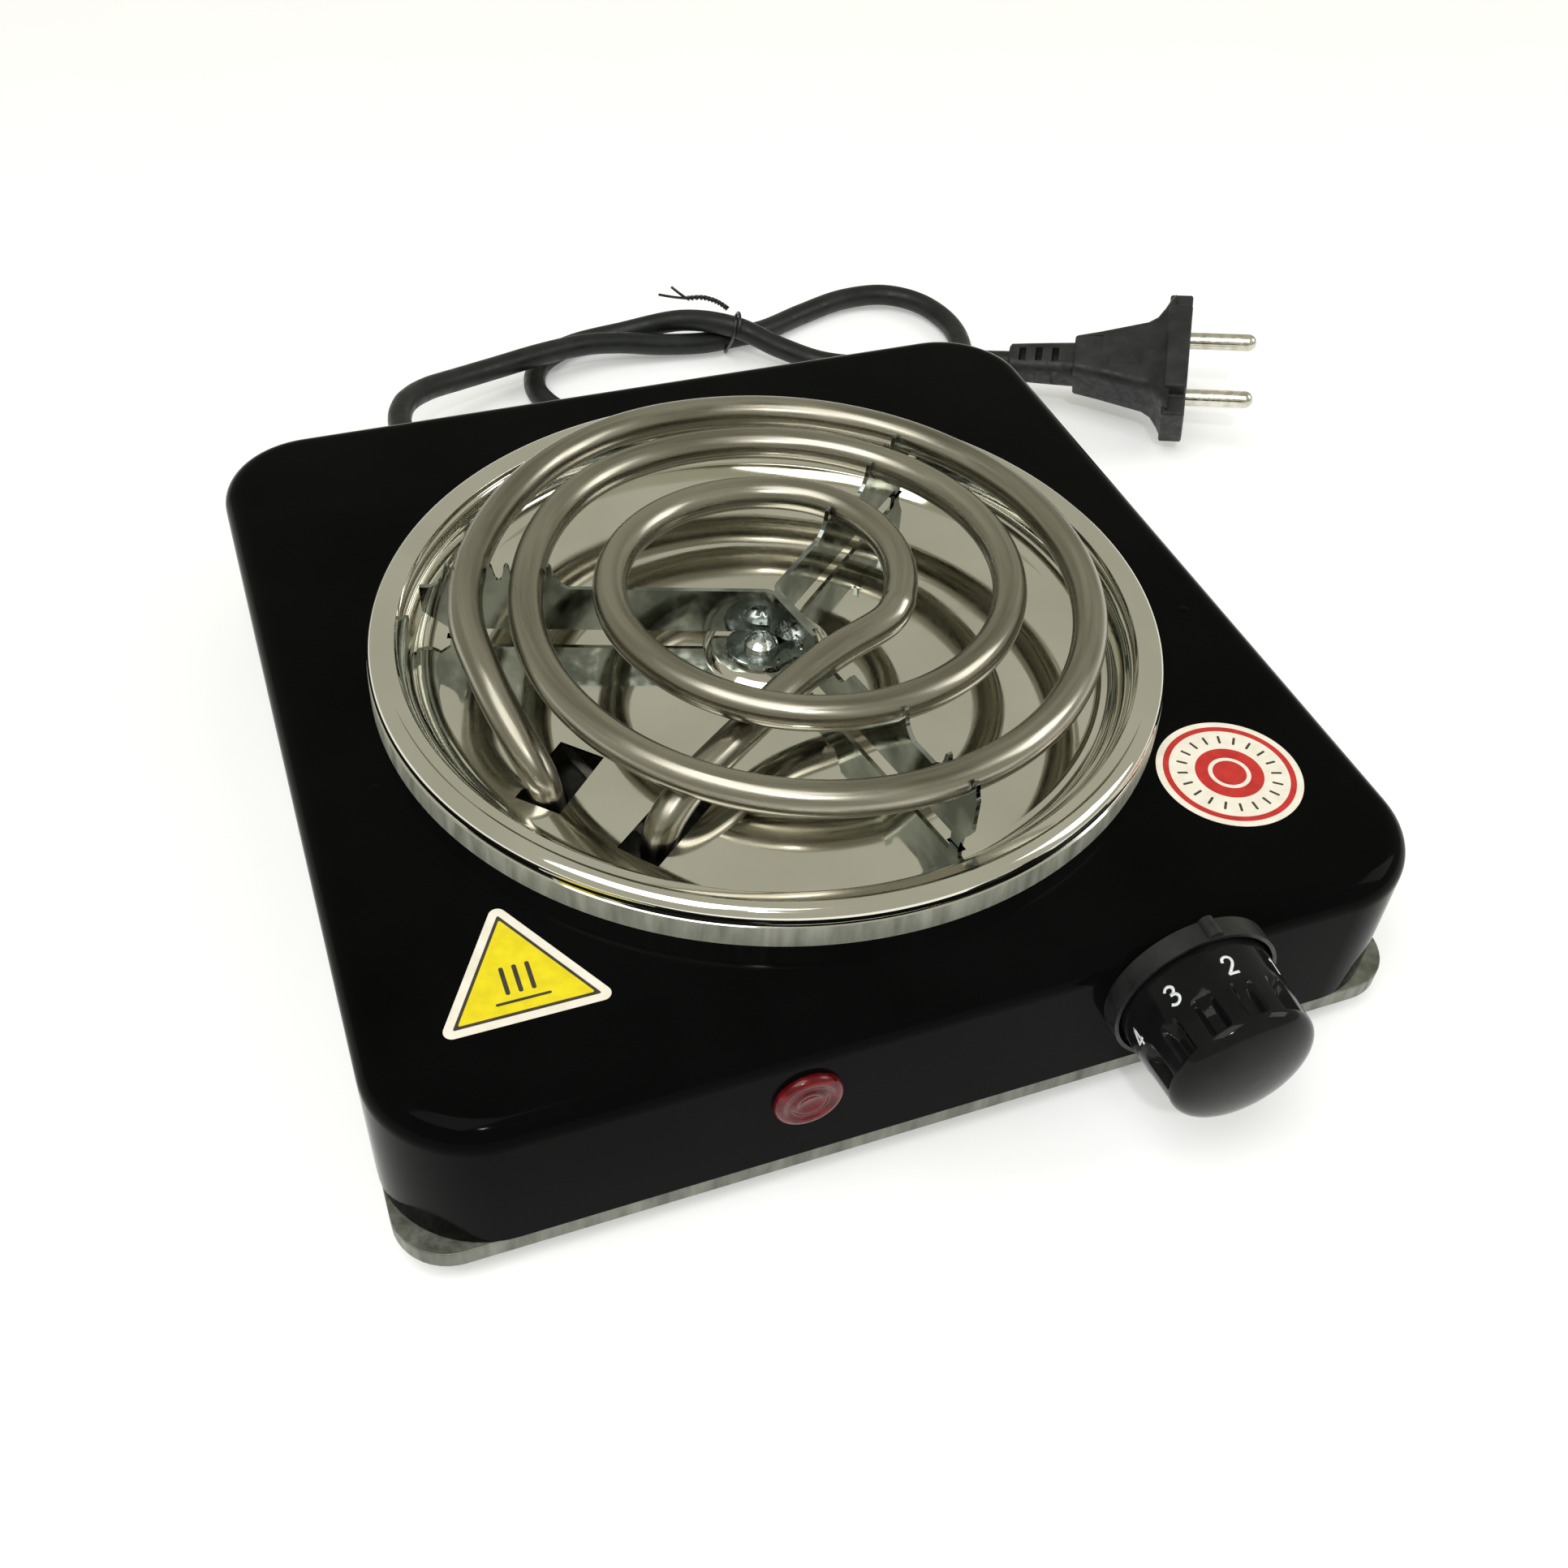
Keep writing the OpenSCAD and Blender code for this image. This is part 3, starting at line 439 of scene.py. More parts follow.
@surface(metallic=1)
def bright_screw(f):
    f.colour(f.noise(1.1), (0.62, 0.65, 0.65), (0.86, 0.88, 0.87))
    f.roughness(f.noise(0.7), 0.06, 0.18)
    f.bump(f.noise(0.6), 0.012)


@surface(metallic=1)
def pan_plating(f):
    f.colour(f.noise(30, detail=3), (0.68, 0.67, 0.595), (0.76, 0.75, 0.68))
    f.roughness(f.noise(7, (6, 1, 1), detail=8), 0.03, 0.12, 0.4, 0.75)
    f.bump(f.noise(24, detail=1), 0.16)
    f.bump(f.noise(1.0, (14, 1, 14), detail=3), 0.0012)
    f.bump(f.noise(0.7, (1, 16, 14), detail=3), 0.0008)


@surface(metallic=0.25, uv=True)
def pan_skirt(f):
    f.colour(f.noise(3, (1, 5, 1), detail=7), (0.34, 0.35, 0.3), (0.6, 0.62, 0.55))
    f.roughness(f.noise(2, (1, 6, 1)), 0.34, 0.6)
    f.bump(f.noise(0.7, (1, 12, 1), detail=4), 0.05)


@surface(metallic=1, uv=True)
def coil_steel(f):
    f.colour(f.noise(2.6, (1, 22, 1), detail=6), (0.2, 0.185, 0.145), (0.39, 0.37, 0.31), 0.3, 0.62)
    f.roughness(f.noise(1.6, (1, 10, 1), detail=5), 0.18, 0.34)
    f.bump(f.noise(0.45, (1, 30, 1), detail=3), 0.012)
    f.bump(f.noise(3.2, (1, 3, 1), detail=3), 0.02)


@surface(metallic=1)
def support_zinc(f):
    f.colour(f.noise(12, detail=7), (0.16, 0.18, 0.168), (0.42, 0.455, 0.43), 0.38, 0.62)
    f.roughness(f.noise(4, detail=8), 0.05, 0.2, 0.4, 0.7)
    f.bump(f.noise(22, detail=1), 0.12)
    f.bump(f.noise(0.6, (6, 6, 1), detail=3), 0.0015)


@surface(roughness=0.7)
def ceramic(f):
    f.colour(f.noise(1.5), (0.76, 0.73, 0.66), (0.9, 0.87, 0.8))
    f.bump(f.noise(0.3), 0.02)


@surface(metallic=1)
def brass(f):
    f.colour(f.noise(2), (0.55, 0.4, 0.18), (0.78, 0.62, 0.34))
    f.roughness(f.noise(1), 0.25, 0.45)
    f.bump(f.noise(0.6), 0.01)


@surface(metallic=1, roughness=0.3)
def bronze(f):
    f.colour(f.noise(3, (6, 1, 1)), (0.5, 0.3, 0.14), (0.7, 0.46, 0.25))
    f.bump(f.noise(0.5, (8, 1, 1)), 0.006)


@surface(metallic=1, roughness=0.2)
def silver(f):
    f.colour(f.noise(0.8), (0.7, 0.7, 0.68), (0.9, 0.9, 0.89))
    f.bump(f.noise(0.4), 0.006)


@surface(metallic=1, roughness=0.35)
def bimetal(f):
    f.colour(f.noise(4, (8, 1, 1)), (0.34, 0.31, 0.28), (0.52, 0.49, 0.45))
    f.bump(f.noise(0.5, (10, 1, 1)), 0.008)


@surface()
def bezel_plastic(f):
    f.set("Specular IOR Level", 0.35)
    f.colour(f.noise(5), (0.01, 0.01, 0.0105), (0.018, 0.018, 0.0185))
    f.roughness(f.noise(1.5), 0.36, 0.5)
    f.bump(f.noise(0.35, detail=2), 0.012)


@surface()
def knob_plastic(f):
    f.set("Specular IOR Level", 0.12)
    f.colour(f.noise(8), (0.005, 0.005, 0.0055), (0.009, 0.009, 0.0095))
    f.roughness(f.noise(3, detail=6), 0.06, 0.15)
    f.bump(f.noise(5, detail=1), 0.012)


@surface(roughness=0.5)
def white_print(f):
    f.colour(f.noise(0.6, detail=6), (0.7, 0.73, 0.76), (0.86, 0.88, 0.9))
    f.bump(f.noise(0.2), 0.01)


@surface(roughness=0.15)
def lamp_red(f):
    f.set("Transmission Weight", 0.25)
    f.set("Specular IOR Level", 0.3)
    f.colour(f.noise(2.4), (0.08, 0.002, 0.004), (0.2, 0.006, 0.01))
    f.bump(f.noise(0.8), 0.02)


@surface(roughness=0.08)
def bulb_glass(f):
    f.set("Transmission Weight", 0.8)
    f.colour(f.noise(2), (0.85, 0.6, 0.45), (0.98, 0.85, 0.7))


@surface(roughness=0.75)
def foot_rubber(f):
    f.colour(f.noise(2), (0.018, 0.018, 0.018), (0.04, 0.04, 0.039))
    f.bump(f.noise(0.4), 0.04)


@surface()
def cord_pvc(f):
    f.set("Specular IOR Level", 0.3)
    f.colour(f.noise(9, detail=5), (0.007, 0.0085, 0.008), (0.014, 0.0165, 0.0155))
    f.roughness(f.noise(3, detail=6), 0.34, 0.52)
    f.bump(f.noise(0.5, detail=3), 0.02)


@surface()
def plug_pvc(f):
    f.set("Specular IOR Level", 0.35)
    f.colour(f.noise(6, detail=6), (0.009, 0.0105, 0.01), (0.022, 0.025, 0.024))
    f.roughness(f.noise(2, detail=6), 0.4, 0.62)
    f.bump(f.noise(0.4, detail=4), 0.03)


@surface(metallic=1)
def pin_nickel(f):
    f.colour(f.noise(2.5, detail=5), (0.58, 0.55, 0.46), (0.78, 0.76, 0.68))
    f.roughness(f.noise(1.2, detail=5), 0.1, 0.28)
    f.bump(f.noise(0.6), 0.006)


@surface(roughness=0.3)
def tie_plastic(f):
    f.colour(f.noise(1.5), (0.008, 0.009, 0.009), (0.02, 0.022, 0.022))
    f.bump(f.noise(0.3), 0.01)


@surface(roughness=0.5)
def clamp_plastic(f):
    f.colour(f.noise(4), (0.68, 0.66, 0.6), (0.8, 0.78, 0.73))
    f.bump(f.noise(0.4), 0.01)


@surface(roughness=0.85)
def wire_sleeve(f):
    f.colour(f.noise(0.5), (0.45, 0.4, 0.32), (0.7, 0.65, 0.55))
    f.bump(f.cells(0.35), 0.12)


def print_film(f, dark, light):
    """The faint grain and gloss of printed film."""
    f.colour(f.noise(3, detail=6), dark, light)
    f.roughness(f.noise(5), 0.28, 0.42)
    f.bump(f.noise(1.2), 0.006)


@surface()
def film_yellow(f):
    print_film(f, (0.76, 0.62, 0.004), (0.86, 0.72, 0.008))


@surface()
def film_cream(f):
    print_film(f, (0.82, 0.77, 0.66), (0.9, 0.86, 0.76))


@surface()
def film_dark(f):
    print_film(f, (0.03, 0.025, 0.02), (0.055, 0.045, 0.035))


@surface()
def film_red(f):
    print_film(f, (0.46, 0.016, 0.014), (0.58, 0.026, 0.022))


# Record slot and material of the CAD nodes that keep their own shape
KEPT_NODES = (
    ("galvanised", galvanised, ["base_tray"]),
    ("zinc_bracket", bracket_zinc, ["cover_hangers", "pan_bridge", "thermostat_bracket", "indicator_clip"]),
    ("screw_steel", screw_steel, ["base_screws", "foot_screws", "centre_nut", "coil_terminal_pins"]),
    ("screw_steel", screw_steel, ["knob_spindle", "stack_rivet", "clamp_screw"]),
    ("bright_screw", bright_screw, ["centre_screw"]),
    ("ceramic", ceramic, ["coil_end_seals", "ceramic_insulators", "adjuster_pin"]),
    ("brass", brass, ["push_on_terminals", "thermostat_bush", "bush_nut"]),
    ("bronze", bronze, ["contact_blades"]),
    ("silver", silver, ["contact_buttons"]),
    ("bimetal", bimetal, ["bimetal_strip"]),
    ("bezel_plastic", bezel_plastic, ["knob_bezel"]),
    ("bulb_glass", bulb_glass, ["neon_bulb"]),
    ("foot_rubber", foot_rubber, ["rubber_feet"]),
    ("gland_rubber", foot_rubber, ["cord_gland"]),
    ("cord_pvc", cord_pvc, ["inner_lead"]),
    ("clamp_plastic", clamp_plastic, ["cord_clamp"]),
    ("wire_sleeve", wire_sleeve, ["internal_wires"]),
    ("pin_nickel", pin_nickel, ["plug_pins"]),
)
NODE_FINISH = {node: (slot, finish) for slot, finish, nodes in KEPT_NODES for node in nodes}
# Edge in mm of the nodes in sight, which are shown by a copy with softened edges
SOFT_NODES = {
    "base_tray": 0.3,
    "centre_screw": 0.12,
    "cover_hangers": 0.3,
    "knob_bezel": 0.3,
    "pan_bridge": 0.3,
    "rubber_feet": 0.3,
}


# ---- Lead, plug and tie ----

# The route of part.scad, in mm
CORD_ROUTE = [
    (-54, 128.75, 18), (-54, 134, 18), (-53, 141.5, 17.8), (-49.5, 149.5, 17), (-42.5, 157, 15.2),
    (-32.5, 163.5, 12.8), (-20, 169.5, 11), (-6, 174, 10.4), (8, 177.5, 9.4), (20, 178.5, 7.6),
    (32, 178, 5.4), (45, 177, 4.4), (56, 177, 4.8), (67, 179.5, 4.2), (81.5, 186, 3.8),
    (97, 190.5, 4.2), (111, 189, 4.6), (121, 180.5, 4.2), (125, 166, 3.4), (121, 149, 3.2),
    (112, 132, 3.2), (98, 119, 3.2), (81, 112.5, 3.2), (64, 113.5, 3.2), (47, 121, 3.2),
    (25, 133, 3.2), (5, 144, 3.2), (-5.5, 153.5, 3.2), (-9.5, 167, 3.2), (-5, 180, 3.2),
    (6.5, 188, 3.4), (23, 188.5, 5), (40.5, 182.5, 9.8), (54, 172, 11.2), (66, 164, 6.8),
    (78, 156.5, 4), (92, 147.5, 5.6), (106, 138, 10.4), (116, 131, 12.9), (124, 126, 14.2),
]
# The plug's turn, rise and roll, in degrees
PLUG_TURN = -32
PLUG_RISE = 7
PLUG_ROLL = 27
# Sections of the plug: place along it, width, thickness and corner radius
RELIEF_RINGS = (
    (0, 8.6, 8.2, 3.4), (0.6, 9.8, 9.3, 3.4), (5, 10.2, 9.6, 3.4), (12, 10.8, 10, 3.4),
    (20.5, 11.4, 10.4, 3.4),
)
GRIP_RINGS = (
    (19, 11.4, 13.6, 1.6), (19.5, 12.4, 14.5, 2.2), (26, 15.6, 14.9, 2.6), (34, 19.8, 15.5, 2.8),
    (39.5, 22.6, 15.9, 2.8), (42, 25.4, 17.2, 3), (44, 30.5, 19.6, 3.2), (45.6, 36, 22, 3.4),
    (46.6, 37.5, 23, 3.4),
)
RELIEF_SLOTS, SLOT_FROM, SLOT_STEP, SLOT_LONG = 3, 4, 4.8, 2
RIBS, RIB_FROM, RIB_STEP = 14, 29, 0.72
FLANGE_FROM, FLANGE_TO = 45, 51.5
# How far the round lead's drawn facets are kept over the floor, in mm
LEAD_LIFT = 0.02


def make_cord():
    """The lead as one round curve along its route, from the gland to the plug."""
    lowest = CORD_D / 2 + LEAD_LIFT
    path = [Vector((p.x, p.y, max(p.z, lowest))) for p in smooth_path(CORD_ROUTE, 8)]
    curve = bpy.data.curves.new("mains_lead", "CURVE")
    curve.dimensions = "3D"
    curve.bevel_depth = CORD_D / 2 * MM
    curve.bevel_resolution = 7
    line = curve.splines.new("POLY")
    line.points.add(len(path) - 1)
    for point, place in zip(line.points, path):
        point.co = (*(place * MM), 1)
    curve.materials.append(cord_pvc())
    cord = linked("mains_lead", curve)
    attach(cord, ROOT)
    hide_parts("power_cord")


def plug_place():
    """The plug's own frame: +X along the pins."""
    leans = ((PLUG_TURN, "Z"), (-PLUG_RISE, "Y"), (PLUG_ROLL, "X"))
    turns = [Matrix.Rotation(math.radians(a), 4, axis) for a, axis in leans]
    return shift(*CORD_ROUTE[-1]) @ turns[0] @ turns[1] @ turns[2]


def soft_box_ring(x, w, t, corner, place):
    """A rounded rectangle w by t mm across the plug's X axis."""
    corner = min(corner, w / 2 - 0.01, t / 2 - 0.01)
    ring = []
    for start, sy, sz in ((0, 1, 1), (90, -1, 1), (180, -1, -1), (270, 1, -1)):
        for y, z in arc(sy * (w / 2 - corner), sz * (t / 2 - corner), corner, start, start + 90, 6):
            ring.append(place @ (Vector((x, y, z)) * MM))
    return ring


def join(name, pieces):
    """Joins meshes into one piece."""
    with bpy.context.temp_override(active_object=pieces[0], selected_editable_objects=pieces):
        bpy.ops.object.join()
    pieces[0].name = name
    return pieces[0]


def relief_piece(place):
    """The cord relief, a rounded bar with through slots and side notches."""
    relief = loft("relief", [soft_box_ring(*section, place) for section in RELIEF_RINGS])
    slots = []
    for i in range(RELIEF_SLOTS):
        x = SLOT_FROM + i * SLOT_STEP
        slots.append(box_cutter((SLOT_LONG, 4.4, 20), place @ shift(x)))
        for y in (-6.4, 6.4):
            slots.append(box_cutter((SLOT_LONG, 3, 20), place @ shift(x, y)))
    cut(relief, slots)
    return relief


def grip_piece(place):
    """The tapered grip, with a sunk window on each face."""
    grip = loft("grip", [soft_box_ring(*section, place) for section in GRIP_RINGS])
    cut(grip, [box_cutter((4.6, 5.4, 1.4), place @ shift(24.6, side * 2.6, side * 7.9)) for side in (1, -1)])
    return grip


def rib_pieces(place):
    """Rows of fine ribs across both faces of the grip."""
    ribs = []
    for side in (-1, 1):
        lean = Matrix.Rotation(math.radians(-side * 2.6), 4, "Y")
        for i in range(RIBS):
            lift = side * (7.42 + i * RIB_STEP * 0.045)
            spot = shift(RIB_FROM + i * RIB_STEP, 0, lift)
            ribs.append(box_cutter((0.36, 7.4 + i * 0.1, 0.5), place @ spot @ lean))
    return ribs


def make_plug():
    """The moulded plug: slotted relief, tapered grip with a ribbed patch and a notched flange."""
    place = plug_place()
    relief = relief_piece(place)
    grip = grip_piece(place)
    ribs = rib_pieces(place)
    flange = flange_piece(place)
    for part in (relief, grip):
        soften(part, 0.35)
    for part in ribs:
        soften(part, 0.08)
    soften(flange, 0.7, segments=3)
    parts = [relief, grip, flange, *ribs]
    for part in parts:
        settle(part)
    plug = join("plug_moulding", parts)
    return dress(plug, ROOT, "plug_pvc", plug_pvc(), stands_for=["plug_body"])


def flange_piece(place):
    """The plug's end plate, a rectangle with its four corners cut away."""
    half_w, half_t, notch_w, notch_t = 20, 12, 6.5, 4.5
    outline = []
    for sy, sz in ((1, 1), (-1, 1), (-1, -1), (1, -1)):
        step = [(half_w, half_t - notch_t), (half_w - notch_w, half_t - notch_t), (half_w - notch_w, half_t)]
        if sy * sz < 0:
            step.reverse()
        outline += [(sy * y, sz * z) for y, z in step]
    rings = [[place @ (Vector((x, y, z)) * MM) for y, z in outline] for x in (FLANGE_FROM, FLANGE_TO)]
    return loft("flange", rings)


# The tie, in mm: the two strands that it holds, the way they run, its twist and its two loose ends
TIE_LOW, TIE_HIGH = Vector((54, 177, 4.8)), Vector((54, 172, 11.2))
TIE_RUN = Vector((0.93, -0.36, -0.1))
TIE_SPINE = [(53, 176.5, 15.2), (51, 180.5, 15.6), (48, 185, 15), (44.5, 190, 12.6)]
TIE_ENDS = (
    [(44.5, 190, 12.6), (41, 193, 12), (36.8, 194.6, 12.6)],
    [(44.5, 190, 12.6), (43, 191.6, 13.4), (40.4, 192.8, 15.6)],
)
TIE_WIRE = 0.42


def tie_ring():
    """The turn of wire round both strands of the lead."""
    up = (TIE_HIGH - TIE_LOW).normalized()
    side = TIE_RUN.cross(up).normalized()
    reach = CORD_D / 2 + 1.1
    path = []
    for i in range(0, 401, 8):
        a = math.radians(i)
        centre = TIE_HIGH if math.cos(a) > 0 else TIE_LOW
        path.append(centre + TIE_RUN * ((i - 200) / 300) + (up * math.cos(a) + side * math.sin(a)) * reach)
    return tube("tie_ring", path, 0.5, 10, TIE_RUN)


def tie_strand(spine, phase):
    """One wire of the twisted pair."""
    strand = []
    for i, p in enumerate(spine):
        ahead = (spine[min(i + 1, len(spine) - 1)] - spine[max(i - 1, 0)]).normalized()
        across = ahead.cross(Vector((0, 0, 1))).normalized()
        turn = phase + i * 0.9
        strand.append(p + (across * math.cos(turn) + across.cross(ahead) * math.sin(turn)) * TIE_WIRE)
    return tube("tie_strand", strand, TIE_WIRE, 8)


def make_tie():
    """The wire tie: a ring round two strands, a twisted pair and two loose ends."""
    spine = smooth_path(TIE_SPINE, 14)
    twists = [tie_strand(spine, phase) for phase in (0, math.pi)]
    ends = [tube("tie_end", smooth_path(points, 6), TIE_WIRE, 8) for points in TIE_ENDS]
    tie = join("wire_tie", [tie_ring(), *twists, *ends])
    return dress(tie, ROOT, "tie_plastic", tie_plastic(), stands_for=["twist_tie"])


# ---- Body ----

COVER_CORNER, COVER_EDGE, COVER_SHEET, COVER_HOLE = 21, 5.2, 0.8, 76


def middle(node):
    """The middle of a CAD node's box."""
    low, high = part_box(node)
    return (low + high) / 2


def at_wall(x, y, z):
    """A frame on a wall, in metres: its Z axis stands out of the front wall, and +Y is up."""
    return Matrix.Translation((x, y, z)) @ Matrix.Rotation(math.radians(90), 4, "X")


def cover_ring(inset, z):
    """The cover's outline, inset in mm, at height z in metres."""
    centre = (COVER_LOW + COVER_HIGH) / 2
    r = max(COVER_CORNER - inset, 0.3) * MM
    half_x = (COVER_HIGH.x - COVER_LOW.x) / 2 - inset * MM - r
    half_y = (COVER_HIGH.y - COVER_LOW.y) / 2 - inset * MM - r
    ring = []
    corners = ((1, 1, 0), (-1, 1, 90), (-1, -1, 180), (1, -1, 270))
    for i, (sx, sy, start) in enumerate(corners):
        for x, y in arc(sx * half_x, sy * half_y, r, start, start + 90, 16):
            ring.append(Vector((centre.x + x, centre.y + y, z)))
        nx, ny, _ = corners[(i + 1) % 4]
        begin = ring[-1]
        turn = math.radians(start + 90)
        end_x = centre.x + nx * half_x + r * math.cos(turn)
        end_y = centre.y + ny * half_y + r * math.sin(turn)
        end = Vector((end_x, end_y, z))
        ring += [begin.lerp(end, k / 4) for k in range(1, 4)]
    return ring


def cover_rings(t):
    """Rings of the cover's surface t mm under its outside, from the walls' foot up to the pan's hole."""
    levels = [(t, COVER_LOW.z), (t, TOP_Z - (COVER_EDGE + 0.4) * MM)]
    for i in range(11):
        a = math.radians(9 * i)
        fall = COVER_EDGE - (COVER_EDGE - t) * math.sin(a)
        levels.append((COVER_EDGE - (COVER_EDGE - t) * math.cos(a), TOP_Z - fall * MM))
    levels.append((COVER_EDGE + 1, TOP_Z - t * MM))
    rings = [cover_ring(inset, z) for inset, z in levels]
    centre = Vector((PAN_AXIS.x, PAN_AXIS.y, TOP_Z - t * MM))
    spokes = [Vector((p.x - PAN_AXIS.x, p.y - PAN_AXIS.y, 0)).normalized() for p in rings[-1]]
    return rings + [[centre + spoke * COVER_HOLE * MM for spoke in spokes]]


def make_cover():
    """The pressed cover: walls, a rounded top edge, the round hole for the pan and the wall's holes."""
    cover = loft("enamel_cover", cover_rings(0) + cover_rings(COVER_SHEET)[::-1], loop=True)
    lens = middle("indicator_lens")
    gland = middle("cord_gland")
    cut(cover, [
        rod_cutter(4.2, 8, at_wall(KNOB_X, FRONT_Y, KNOB_Z)),
        rod_cutter(5.05, 8, at_wall(lens.x, FRONT_Y, lens.z)),
        rod_cutter(4.75, 8, at_wall(gland.x, COVER_HIGH.y, gland.z)),
    ])
    soften(cover, 0.25, sharp=50)
    dress(cover, ROOT, "enamel", enamel(), stands_for=["top_cover"])
    for i, (x, y) in enumerate(((-87, -21.5), (91.5, -20))):
        place = Matrix.Translation((x * MM, y * MM, TOP_Z))
        mark = lathe(f"spot_mark_{i + 1}", [(0.01, 0.16), (0.5, 0.15), (0.95, 0.08), (1.25, 0)], 24, place)
        dress(mark, ROOT, "enamel", enamel())


# ---- Drip pan ----

# Slots for the coil's ends: place, direction in degrees, length and width in mm
PAN_SLOTS = ((-51.9, -24, 45, 17.5, 9.8), (-36.2, -42.6, 40, 19.5, 9.2))
PAN_R, PAN_RIM, PAN_SHEET = 83, 8.5, 0.6
# Skirt: inset from the pan's radius and height. Ledge: inset and fall from the rim. Hub: radius and height
PAN_SKIRT = ((0, 0), (0.05, 2.4), (0.15, PAN_RIM - 3.7), (0.75, PAN_RIM - 3.45), (0.8, PAN_RIM - 3.15))
PAN_LEDGE = ((4.1, 0.55), (5.8, 0.6), (6.05, 0.8), (6.3, 1.35), (6.6, 1.55), (7.2, 2), (8.6, 3.6))
PAN_HUB = ((14, -1.75), (13.2, -1.3), (12.4, -0.5), (11.6, -0.3), (6, -0.3), (0.02, -0.3))
SKIRT_TOP = 4.9
SCREW_AT = (-2, -1)
# Each arm of the coil's support: its direction in degrees, its offset to the left and its length in mm
ARMS = {"left": (161.8, -3.3, 72.5), "front": (-78.8, 2.1, 70), "back": (41.2, 1.3, 70)}
FOOT_FROM, FOOT_LEN = 64.5, 3


def at_pan(x=0, y=0, z=0, turn=0):
    """A frame on the pan's axis at the cover's top, moved in mm and turned in degrees."""
    place = Matrix.Translation(PAN_AXIS + Vector((x, y, z)) * MM)
    return place @ Matrix.Rotation(math.radians(turn), 4, "Z")


def pan_outline(t):
    """Section of the pan from the skirt's foot to the middle, t mm below the upper surface."""
    skirt = [(PAN_R - inset - t, z) for inset, z in PAN_SKIRT]
    rolled_rim = arc(PAN_R - 2.7, PAN_RIM - 2.4, 2.4 - t, -12, 108, 14)
    ledge = [(PAN_R - inset, PAN_RIM - fall - t) for inset, fall in PAN_LEDGE]
    wall = arc(PAN_R - 14.2, 3.4, 5.2 + t, -26, -90, 10)
    dish = [(r, -1.8 - t) for r in range(66, 15, -3)]
    return skirt + rolled_rim + ledge + wall + dish + [(r, z - t) for r, z in PAN_HUB]


def make_pan():
    """The plated drip pan, with a matt skirt, slots for the coil's ends and feet of the arms."""
    pan = lathe("plated_pan", pan_outline(0) + pan_outline(PAN_SHEET)[::-1], 240, at_pan(), closed=True)
    cutters = []
    for x, y, turn, length, width in PAN_SLOTS:
        cutters.append(box_cutter((length, width, 24), at_pan(x, y, 0, turn)))
    for turn, offset, _ in ARMS.values():
        place = at_pan(turn=turn) @ shift(FOOT_FROM + FOOT_LEN / 2, offset)
        cutters.append(box_cutter((FOOT_LEN + 1, 1.8, 12), place))
    cutters.append(rod_cutter(2.2, 12, at_pan(*SCREW_AT)))
    cut(pan, cutters)
    dress(pan, ROOT, "pan_chrome", pan_plating(), pan_skirt(), stands_for=["drip_pan"], sharp=50)
    for face in pan.data.polygons:
        out = face.center - PAN_AXIS
        faces_out = out.xy.normalized().dot(face.normal.xy) > 0.5
        if faces_out and out.xy.length > (PAN_R - 1) * MM and out.z < SKIRT_TOP * MM:
            face.material_index = 1


# ---- Coil ----

RING_START_R = 62.2
COIL_START, COIL_END = 165, -751
RING_STEPS = ((150, 95, 3.6), (-50, -200, -15.7), (-200, -250, 2.6), (-330, -530, -19.6), (-660, -760, -7))
COIL_DROP = -23.7
OUTER_LEAD = [
    (-55, -27.5, COIL_DROP), (-55, -27.5, -21.5), (-55, -27.5, -19), (-56, -26, -14.2), (-58, -21.5, -9.6),
    (-60, -14.5, -5.8), (-61.4, -6, -2.8), (-62, 5, -0.5),
]
INNER_TAIL = [
    (18.4, -16.4, -1.2), (7, -19.8, -3), (-4, -24, -5.4), (-14, -29.8, -7.4), (-22.5, -35.2, -8.4),
    (-30, -39.8, -10), (-35.8, -43.3, -13.6), (-38.4, -44.8, -18.6), (-38.4, -44.8, -21.5),
    (-38.4, -44.8, COIL_DROP),
]


def coil_radius(angle):
    """Radius of the coil's centre line in mm at an angle in degrees."""
    radius = RING_START_R
    for start, end, change in RING_STEPS:
        t = min(max((start - angle) / (start - end), 0), 1)
        radius += change * t * t * (3 - 2 * t)
    return radius


def coil_point(angle):
    """A point of the coil's centre line at an angle in degrees."""
    a = math.radians(angle)
    return (coil_radius(angle) * math.cos(a), coil_radius(angle) * math.sin(a), 0)


def make_coil():
    """The heating tube: three rings and two ends that go down through the pan."""
    step = 10
    rings = [coil_point(a) for a in range(COIL_START - 2 * step, COIL_END, -step)]
    start = smooth_path(OUTER_LEAD + [coil_point(COIL_START), coil_point(COIL_START - step)], 8)
    middle = smooth_path([coil_point(COIL_START - step), *rings], 6)
    end = smooth_path([rings[-1], coil_point(COIL_END), *INNER_TAIL], 8)
    centre = Vector((PAN_AXIS.x, PAN_AXIS.y, PAN_AXIS.z)) / MM + Vector((0, 0, COIL_RISE))
    path = [centre + Vector((p.x, p.y, min(p.z, 0))) for p in start[:-1] + middle[:-1] + end]
    coil = tube("heating_tube", path, TUBE_R, 40, (1, 0, 0))
    dress(coil, ROOT, "coil_steel", coil_steel(), stands_for=["heating_coil"], sharp=60)


# ---- Coil supports ----

ARM_LOW = 0.7
ARM_HIGH = COIL_RISE - TUBE_R
STRIP = 1
FLANGE_SHIFT = STRIP + 0.02
FLANGE_END = 12
# Outlines of radius and height: a clinch mark and the screw tab
CLINCH_OUTLINE = [(0.01, 0.3), (0.4, 0.28), (0.6, 0.06), (0.95, 0.06), (1.15, 0.26), (1.45, 0.28), (1.75, 0)]
TAB_OUTLINE = [(0.02, 0.65), (6.6, 0.65), (7.3, 0.55), (7.6, 0.2), (7.6, -0.3), (0.02, -0.3)]
